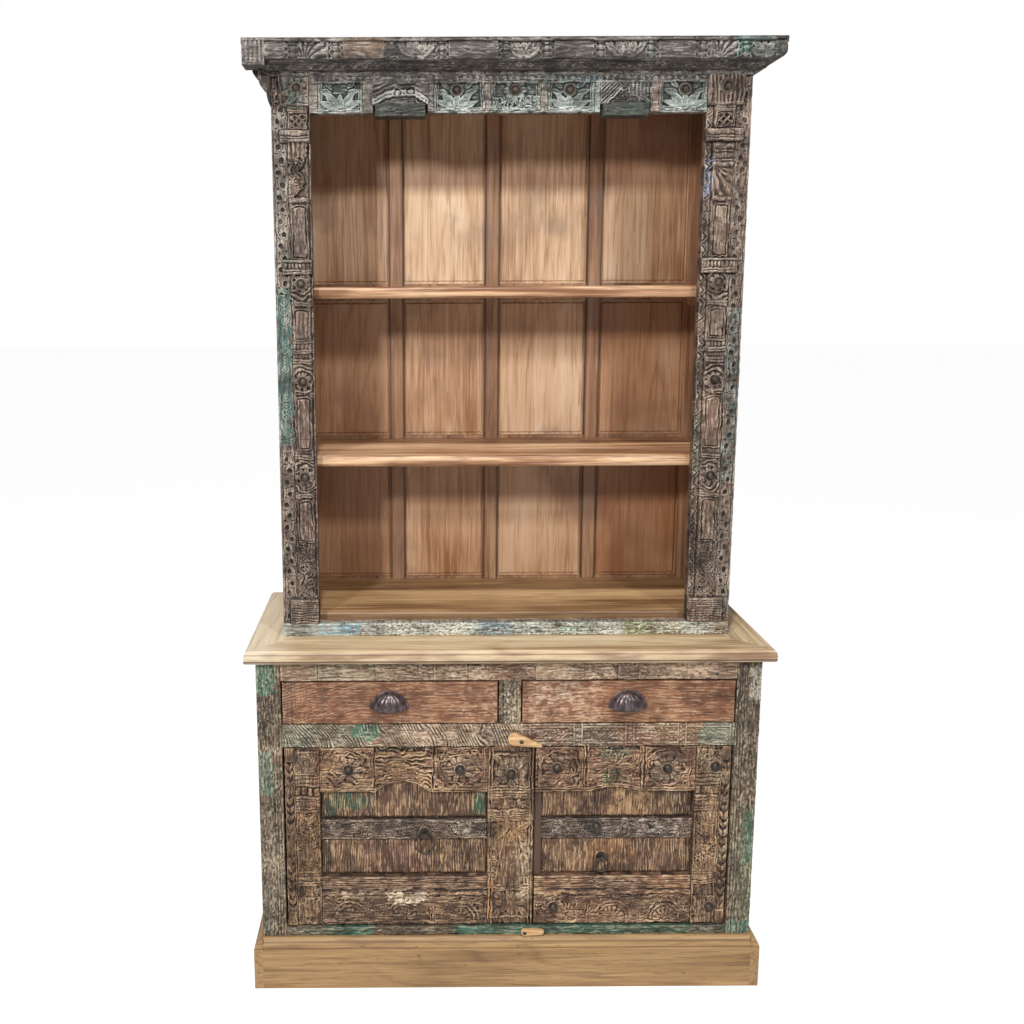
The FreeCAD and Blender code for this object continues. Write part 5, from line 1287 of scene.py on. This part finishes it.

# The bracket feet stand in shade under the brackets: their finish is a darker copy of the lintel's, as painted shade.
painted_shade_corbel_wood = old_finish("painted_shade_corbel_wood", (30, 27, 24), (58, 52, 45), (80, 74, 64), (150, 148, 136), "X", flake=230.0,
    dust=0.3, scratch=0.25, dirt=0.8)
for hand, x0, x1 in (("left", -296.2, -176.8), ("right", 187.2, 297.0)):
    gx, gz = grid(x0, x1, 1997, strip_low, 1.2)
    x, z = hand_cut(gx, gz, 3.0, 170)
    u, v = x - x0, z - 1997
    if hand == "left":
        over = v - np.interp(u, (0, 12, 30, 45, 90, 104, 119), (-2, 2, 13, 17, 17, 8, -2))
        rise = np.where(over > 0, 0.7 + 0.3 * np.cos(over * 0.62), 0.15) + 0.3 * swell(over, 1.6, 1.4)
        rise = np.where((u > 100) & (v > 22), 0.6, rise) - 0.8 * swell(over, -1.8, 1.6)
        for bu, bv in ((54, 23), (83, 26)):
            r = np.hypot(u - bu, v - bv)
            rise = (np.where(r < 7, half_round(r, 0, 7), rise) - 0.7 * swell(r, 8, 1.4) + 0.5 * swell(r, 11, 1.4)
                * (v > bv - 6))
        sweep = swell(v - 16, 0.25 * (u - 78), 1.8) * band(u, 77, 100, 2)
        rise = highest(rise, sweep, coil(x, z, x0 + 9, 2008, 11, 1), coil(x, z, x0 + 104, 2006, 12, -1))
    else:
        over = v - 0.886 * (u - 13) + 60 * ease(46, 50, u) * (u < 64) - 60 * ease(62, 66, u)
        rise = np.where((over > 0) & (u < 48), 0.6 + 0.3 * np.cos(over * 0.8), 0.25) + 0.5 * swell(over, 1.5, 2.0)
        rise = np.where((u > 60) & (v > 15), 0.45 + 0.3 * np.abs(np.cos(x * np.pi / 8)), rise)
        rings = highest(*[swell(np.hypot((u - 50) / 1.7, v - at), 4.2, 1.1) * (v < at + 1)
            for at in (7, 15, 23, 31, 38)])
        rise = highest(rise, rings, leaves(x, z, (x0 + 106, 2000, 38, 11, 152), (x0 + 100, 1999, 28, 10, 118),
            (x0 + 82, 1999, 22, 9, 60)))
    rise = highest(rise, frame_lines(x, z, x0, x1, 1940, 2060, 1.6, 1.2))
    depth = (8.5 * (1 - (0.85 + 0.15 * weather(gx, gz, 20, 171)) * np.clip(rise, -0.4, 1))
        + 0.5 * chiselled(gx, gz, "X", 172))
    spots = ([(x1 - 20, x1, 2018, strip_low, (104, 90, 84), 0.5)] if hand == "left"
        else [(x1 - 46, x1, 2012, strip_low, (100, 86, 76), 0.5)])
    paint = coat(gx, gz, ((80, 72, 66), 0.44), spots, 173)
    # Painted shadow: below the curve of the leaves the bracket is brushed dark, where its underside falls in shade.
    brush(paint, 1 - ease(-2, 0, over), (46, 44, 38), 0.7)
    brush(paint, band(over, 0.5, 12 if hand == "left" else 3, 1.5), (212, 208, 200), 0.66)
    carved_board(hand + "_bracket", [], "cabinet", lintel_wood, gx, gz, proud_face, depth,
        bracket_back, paint, arris=1.0)
    gx, gz = grid(x0 + 6, x1 - 6, 1971, 1998, 1.4)
    breaks = ([] if hand == "left" else [
        (x0, x0 + 46, 1984, 2000, (52, 50, 44), 0.6), (x1 - 40, x1, 1968, 1984, (66, 74, 64), 0.55)])
    # Painted shade: the feet are coated near-black on the left and dark teal on the right.
    paint = coat(gx, gz, ((25, 27, 25) if hand == "left" else (34, 54, 48), 0.8), breaks, 174)
    depth = 1.0 * chiselled(gx, gz, "X", 175) + 4.5 * weather(gx, gz, 13, 176) * weather(gx, gz, 6, 177)
    carved_board(hand + "_bracket_foot", [], "cabinet", painted_shade_corbel_wood, gx, gz, corbel_face, depth,
        frame_back, paint, arris=1.4)

# Cornice: a bold old moulding, mitred at the corners. Plain stretches of its big round alternate with beaded collars
# and leaf fans, a hollow with small buds runs below it down to the leaf strip, and the left end is fluted upright.
cornice_wood = old_finish("cornice_wood", (28, 23, 20), (60, 52, 47), (84, 75, 69), (188, 182, 172), "X", **frame_look)
cornice_out, cornice_high, cornice_top = 59.0, 64.0, 2120
bend = np.linspace(0.085, 0.59, 30)
path = np.array([(0, 0), (1, 0), (1, 0.055), (0.93, 0.07)] + [
    (0.89 + 0.09 * (1 - ((d - 0.34) / 0.255) ** 2), d) for d in bend] + [
        (0.74, 0.61), (0.66, 0.625), (0.66, 0.655), (0.61, 0.69), (0.51, 0.73), (0.4, 0.765), (0.25, 0.788),
        (0.06, 0.805), (0.05, 1), (0, 1)])
flat = path * (cornice_out, cornice_high)
travel = np.concatenate([[0], np.cumsum(np.hypot(*np.diff(flat, axis=0).T))])
steps = np.unique(np.concatenate([travel[[0, 1]], np.linspace(travel[1], travel[-1], 84)]))
out = np.interp(steps, travel, path[:, 0])
drop = np.interp(steps, travel, path[:, 1])
ways2, out2 = np.meshgrid(np.linspace(-1, 1, 781), out)
drop2 = np.repeat(drop[:, None], ways2.shape[1], 1)
gx, gz = ways2 * (half_case + 50 * out2), cornice_top - cornice_high * drop2
x, z = hand_cut(gx, gz, 3.0, 180)
share = (cornice_top - z) / cornice_high
rise = 0.7 + 0.08 * np.cos((share - 0.32) * 40) * (np.abs(share - 0.32) < 0.2)
pale = np.zeros(x.shape)
for cx in (-457, -368, -254, -150, -18, 66, 177, 282, 388, 477):
    beads = np.sqrt(np.clip(1 - ((x - cx) / 7) ** 2 - ((((share - 0.07) / 0.175) % 1 - 0.5) / 0.46) ** 2, 0, 1))
    sides = swell(np.abs(x - cx) - 10.5, 2.5 * np.cos((share - 0.07) * 2 * np.pi / 0.175), 1.5)
    rise = np.where(np.abs(x - cx) < 15, highest(beads, sides, 0.12), rise)
for cx, half, hatched in ((-416, 29, 1), (-202, 37, 0), (20, 30, 0), (229, 40, 0), (436, 23, 1), (514, 24, 0)):
    ears = paired(x, z, cx, (3, 2083, 38, 0.5 * half, 62), (4, 2084, 1.2 * half, 15, 30))
    bell = highest(leaf(x, z, cx, 2084, 34, 0.55 * half, 90),
        0.8 * leaves(x, z, (cx - half, 2116, 34, 12, 300), (cx + half, 2116, 34, 12, 240)))
    ray = np.arctan2(z - 2078, x - cx + 0.6 * half)
    fan_leaf = highest(ears, bell) if not hatched else (0.5 + 0.5 * np.cos(ray * 17)) ** 0.8
    rise = np.where(np.abs(x - cx) < half, highest(fan_leaf, 0.02), rise)
    pale = np.where(np.abs(x - cx) < half, 2 * ease(0.25, 0.6, fan_leaf) - 1, pale)
rise = np.where((gx < -514) & (share < 0.6), 0.3 + 0.7 * np.abs(np.cos(x * np.pi / 9)) ** 1.4, rise)
lozenge = np.abs(((x / 23.0) % 1) - 0.5) / 0.42 + np.abs(share - 0.735) / 0.065
rise = np.where(drop2 > 0.66, 0.35 + 0.5 * (1 - ease(0.7, 1.0, lozenge)), rise)
rise = np.where((drop2 > 0.6) & (drop2 <= 0.66), 0.85, np.where(drop2 < 0.06, 0.92, rise))
rise = np.where((drop2 > 0.785) & (drop2 <= 0.82), 0.1, np.where(drop2 > 0.82, small_leaves(x, z), rise))
depth = 5.4 * (1 - rubbed(rise, gx, gz, 181, 0.68)) + 0.5 * chiselled(gx, gz, "X", 182)
depth = ((depth + 5 * (gx < -518) * (drop2 < 0.6)) * ease(0.0, 0.01, 1 - np.abs(ways2)) * ease(0.0, 0.02, drop2)
    * (out2 > 0.02))
tangent = np.gradient(np.stack([out * cornice_out, drop * cornice_high], -1), axis=0)
inward = np.stack([-tangent[:, 1], tangent[:, 0]], -1) / highest(np.hypot(tangent[:, 0], tangent[:, 1]), 1e-6)[:, None]
points = np.stack([gx, frame_face - cornice_out * out2 - depth * inward[:, :1], gz + depth * inward[:, 1:]],
    -1).reshape(-1, 3)
index = np.arange(gx.size).reshape(gx.shape)
ahead = np.roll(index, -1, 0)
faces = np.stack([index[:, :-1], ahead[:, :-1], ahead[:, 1:], index[:, 1:]], -1).reshape(-1, 4).tolist()
faces += [index[::-1, 0].tolist(), index[:, -1].tolist()]
carve = carve_marks(depth, depth, 2.0)
paint = coat(gx, gz, ((70, 63, 58), 0.46), [
    (452, 500, 2080, 2120, (52, 100, 92), 0.6), (505, 545, 2080, 2112, (66, 112, 104), 0.5),
    (-360, -266, 2080, 2120, (112, 88, 70), 0.55), (-215, -188, 2084, 2118, (190, 182, 164), 0.45),
    (-562, -514, 2078, 2120, (138, 134, 126), 0.5), (268, 292, 2070, 2118, (66, 100, 90), 0.46),
    (-445, -390, 2084, 2117, (146, 138, 126), 0.38), (-236, -168, 2084, 2117, (156, 148, 134), 0.4),
    (-8, 48, 2084, 2117, (150, 142, 130), 0.38), (192, 266, 2084, 2117, (146, 140, 130), 0.38),
    (415, 456, 2084, 2117, (140, 134, 124), 0.42), (-562, 562, 2068, 2079, (78, 66, 59), 0.5),
    (60, 150, 2052, 2064, (62, 100, 100), 0.42)], 183)
pale = pale * (drop2 > 0.06) * (drop2 < 0.6)
brush(paint, 0.85 * np.clip(pale, 0, 1), (146, 140, 130), 0.52)
brush(paint, 0.85 * np.clip(-pale, 0, 1), (34, 28, 25), 0.64)
smooth = np.ones(len(faces), bool)
smooth[-2:] = False
piece = put_in("carved_cornice", points, faces, "cabinet", cornice_wood, smooth, carve,
    paint.reshape(-1, 4))
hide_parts("cornice_front")

# The cornice's left end block: a short upright block with flutes, set half a millimetre inside the moulding's end and
# top.
gx, gz = grid(-561.5, -515, 2067, 2119.5, 1.2)
flutes = 1 - 0.8 * np.abs(np.cos((gx + 562) * np.pi / 9.4)) ** 1.6
depth = 2.4 * flutes * band(gz, 2074, 2114, 2) + 1.6 * band(gz, 2069, 2072, 1) + 0.5 * chiselled(gx, gz, "Z", 184)
paint = coat(gx, gz, ((134, 128, 120), 0.48), [
    (-562, -515, 2064, 2073, (92, 84, 76), 0.55), (-530, -515, 2074, 2112, (112, 100, 90), 0.5)], 185)
carved_board("cornice_end_block", [], "cabinet", cornice_wood, gx, gz, -189, depth, -132, paint,
    arris=1.6)

# The returns run back along the sides, plainer than the front, and painted paler to make up for the shade they stand
# in.
lightened_return_wood = old_finish("lightened_return_wood", (56, 46, 39), (118, 101, 87), (152, 135, 118), (196, 182, 164), "Z",
    scratch=0.6)
dress(lightened_return_wood, "cornice_returns")

# Upper case: outer sides, linings and roof, waxed honey-brown planks.
side_wood = plank_finish("side_wood", (92, 62, 38), (140, 100, 62), (170, 130, 88), "Z", board=0.112, knots=2.6,
    across=1)
lining_wood = plank_finish("lining_wood", (104, 72, 50), (148, 110, 80), (176, 138, 106), "Z", knots=2.0, across=1)
roof_wood = plank_finish("roof_wood", (92, 64, 40), (136, 100, 64), (164, 126, 86), "X", board=0.122, knots=2.0,
    across=1)
dress(side_wood, "upper_sides")
dress(lining_wood, "upper_linings")
dress(roof_wood, "roof_board")

# Shelves, bottom board and cleats: pale honey planks with rounded front edges, waxed.


def shaded_nose(node, calc, mix, span, colour):
    """Cracks and dark streaks along the front edge: a drawn-out noise, strongest at the rounded nose."""
    spot = node("TexCoord", out=3)
    crack = node("TexNoise", {"Vector": node("Mapping", {"Vector": spot, "Scale": (0.06, 0.5, 1.0)}), "Scale": 95.0,
        "Detail": 4.0, "Roughness": 0.65})
    nose = span(node("SeparateXYZ", {0: spot}, 1), -0.078, -0.09, 0.35, 1.0)
    return mix(calc("MULTIPLY", nose, span(crack, 0.5, 0.66, 0.0, 0.75)), colour, seen(112, 74, 48))


shelf_wood = plank_finish("shelf_wood", (118, 78, 48), (182, 141, 105), (216, 182, 146), "X", board=0.1, knots=2.4,
    gloss=0.42, across=1, streaks=1.5, clouds=1.1, shade=shaded_nose)


def painted_front_shade(node, calc, mix, span, colour):
    """Painted shade on the front edge: it is mixed towards brown in front of the line where the edge begins to round
    over, over the cracks along the nose, so that it is darker than the lit top."""
    front = span(node("SeparateXYZ", {0: node("TexCoord", out=3)}, 1), -0.086, -0.0905, 0.0, 0.62)
    return mix(front, shaded_nose(node, calc, mix, span, colour), seen(98, 70, 48))


bottom_wood = plank_finish("bottom_wood", (108, 76, 46), (172, 138, 96), (200, 168, 124), "X", board=0.1, knots=2.4,
    gloss=0.42, across=1, streaks=0.9, clouds=0.8, shade=painted_front_shade)
dress(shelf_wood, "upper_shelf", "lower_shelf", "shelf_cleats")
dress(bottom_wood, "bottom_board")

# Framed back: stiles, rails and muntins in darker wood, and raised plank panels that differ in tone, with painted
# shade on the outer and lower panels and painted shadow at the head of each bay.


def dusty_joints(node, calc, mix, span, colour):
    """Dirt in the joints: dark where X lies within 4 mm of the edge of a muntin. A soft noise adds grey stains."""
    spot = node("TexCoord", out=3)
    x = node("SeparateXYZ", {0: spot}, 0)
    near = calc("ABSOLUTE", calc("SUBTRACT", x, 0.257))
    for edge in (-0.268, -0.234, -0.030, 0.004, 0.223):
        near = calc("MINIMUM", near, calc("ABSOLUTE", calc("SUBTRACT", x, edge)))
    stain = node("TexNoise", {"Vector": spot, "Scale": 6.5, "Detail": 3.0})
    colour = mix(span(stain, 0.54, 0.7, 0.0, 0.5), colour, seen(128, 106, 92))
    return mix(span(near, 0.0042, 0.0016, 0.0, 0.8), colour, seen(62, 38, 24))


def painted_bay_shade(node, calc, mix, span, colour):
    """Painted shade on the back panels: the outer panels by the jambs and the lower rows, which get less light, are
    mixed towards dark brown, and a warm painted shadow lies across the head of each bay, under the lintel and the
    shelves."""
    split = node("SeparateXYZ", {0: node("TexCoord", out=3)}).node.outputs
    # Painted shade: the outer panels by the jambs and the lower rows are mixed towards a dark brown.
    outer = calc("MAXIMUM", calc("MULTIPLY", calc("LESS_THAN", split[0], -0.251), 0.2),
        calc("MULTIPLY", calc("GREATER_THAN", split[0], 0.240), 0.3))
    low = calc("ADD", calc("MULTIPLY", calc("LESS_THAN", split[2], 1.604), 0.28),
        calc("MULTIPLY", calc("LESS_THAN", split[2], 1.225), 0.12))
    colour = mix(calc("ADD", outer, low), dusty_joints(node, calc, mix, span, colour), seen(146, 90, 48))
    # Painted shadow: a warm dark brown across the head of the top bay under the lintel, and of each lower bay under
    # its shelf.
    painted_head_shadow = calc("MULTIPLY", span(split[2], 1.835, 1.865), 0.46)
    for start, top in ((1.455, 1.604), (1.055, 1.225)):
        head = calc("MULTIPLY", span(split[2], start, start + 0.02), calc("LESS_THAN", split[2], top))
        painted_head_shadow = calc("ADD", painted_head_shadow, calc("MULTIPLY", head, 0.2))
    return mix(painted_head_shadow, colour, seen(104, 50, 18))


muntin_wood = plank_finish("muntin_wood", (112, 76, 52), (154, 114, 84), (184, 146, 112), "Z", gloss=0.5,
    shade=dusty_joints)


def panel_tones(node, calc, mix):
    """Object coordinates, pushed far aside by the number of the panel, so that each panel is a plank of its own."""
    spot = node("TexCoord", out=3)
    split = node("SeparateXYZ", {0: spot}).node.outputs
    number = calc("GREATER_THAN", split[0], -0.251)
    for place in (-0.013, 0.240):
        number = calc("ADD", number, calc("GREATER_THAN", split[0], place))
    for place in (1.225, 1.604):
        number = calc("ADD", number, calc("MULTIPLY", calc("GREATER_THAN", split[2], place), 4.0))
    aside, up = calc("MULTIPLY", number, 0.713), calc("MULTIPLY", number, 1.37)
    return node("VectorMath", {0: spot, 1: node("CombineXYZ", {0: aside, 1: 0.0, 2: up})}, operation="ADD")


panel_plank = plank_finish("panel_plank", (146, 102, 68), (222, 184, 146), (247, 220, 188), "Z", knots=2.8, gloss=0.46,
    place=panel_tones, streaks=0.6, shade=painted_bay_shade)
dress(muntin_wood, "back_frame")
dress(panel_plank, "back_panels")

# Studio: a pale floor with the object's soft shadow, a white surround and three small soft lamps, one from the left,
# one from the right and one from the ceiling. Floor and surround are brighter to the camera than they light the
# object.
floor_mesh = bpy.data.meshes.new("floor")
floor_mesh.from_pydata([(-30, -30, 0), (30, -30, 0), (30, 30, 0), (-30, 30, 0)], [], [(0, 1, 2, 3)])
floor = bpy.data.objects.new("floor", floor_mesh)
bpy.context.scene.collection.objects.link(floor)
floor_finish, node, shader, mix, calc, span = new_finish("pale_floor")
shader(Base_Color=(0.9, 0.9, 0.9, 1), Roughness=0.9)
nodes = floor_finish.node_tree.nodes
ray = node("LightPath").node.outputs
direct = calc("MULTIPLY", calc("MAXIMUM", ray["Is Camera Ray"], ray["Is Glossy Ray"]), 0.78)
glow = node("Emission", {"Strength": 1.2})
blend = node("MixShader", {0: direct, 1: nodes["Principled BSDF"].outputs[0], 2: glow})
floor_finish.node_tree.links.new(blend, nodes["Material Output"].inputs[0])
floor_mesh.materials.append(floor_finish)

world = bpy.data.worlds.new("surround")
bpy.context.scene.world = world
world.use_nodes = True
fill, node, mix, calc, span = node_tools(world.node_tree)
ray = node("LightPath").node.outputs
level = span(calc("MAXIMUM", ray["Is Camera Ray"], ray["Is Transmission Ray"]), 0.0, 1.0, 0.2, 1.0)
fill(world.node_tree.nodes["Background"], {"Strength": level, "Color": (1, 1, 1, 1)})


def lamp(name, power, size, place, aim):
    """A square soft lamp at a place, turned to face another."""
    light = bpy.data.lights.new(name, "AREA")
    light.energy = power
    light.size = size
    piece = bpy.data.objects.new(name, light)
    piece.rotation_euler = (Vector(aim) - Vector(place)).to_track_quat("-Z", "Y").to_euler()
    piece.location = place
    bpy.context.scene.collection.objects.link(piece)


heart = (0.0, 0.0, 1.2)
lamp("key", 88.0, 0.3, (-1.8, -3.2, 2.62), heart)
lamp("second", 52.0, 0.3, (1.5, -3.0, 3.1), heart)
lamp("ceiling", 125.0, 0.22, (-0.35, -2.1, 5.1), heart)

# Camera: the focal length and the point straight ahead are in pixels of a square picture. It stands in front, to the
# left of the middle, and looks down a little; its turns are in radians.
picture, focal, ahead_x, ahead_z = 1024, 1067.2, 411.77, 473.38
stand = (-0.2199, -2.4915, 1.6039)
swing, dip, roll = -0.0018, 0.1679, -0.0047
film = 36.0
camera_data = bpy.data.cameras.new("camera")
camera_data.sensor_width = film
camera_data.lens = focal * film / picture
camera_data.shift_x = (picture / 2 - ahead_x) / picture
camera_data.shift_y = (ahead_z - picture / 2) / picture
camera_data.clip_start = 0.05
camera = bpy.data.objects.new("camera", camera_data)
camera.matrix_world = (Matrix.Translation(stand) @ Matrix.Rotation(swing, 4, "Z")
    @ Matrix.Rotation(math.pi / 2 - dip, 4, "X") @ Matrix.Rotation(roll, 4, "Z"))
bpy.context.scene.collection.objects.link(camera)
bpy.context.scene.camera = camera
bpy.context.scene.view_settings.view_transform = "Standard"
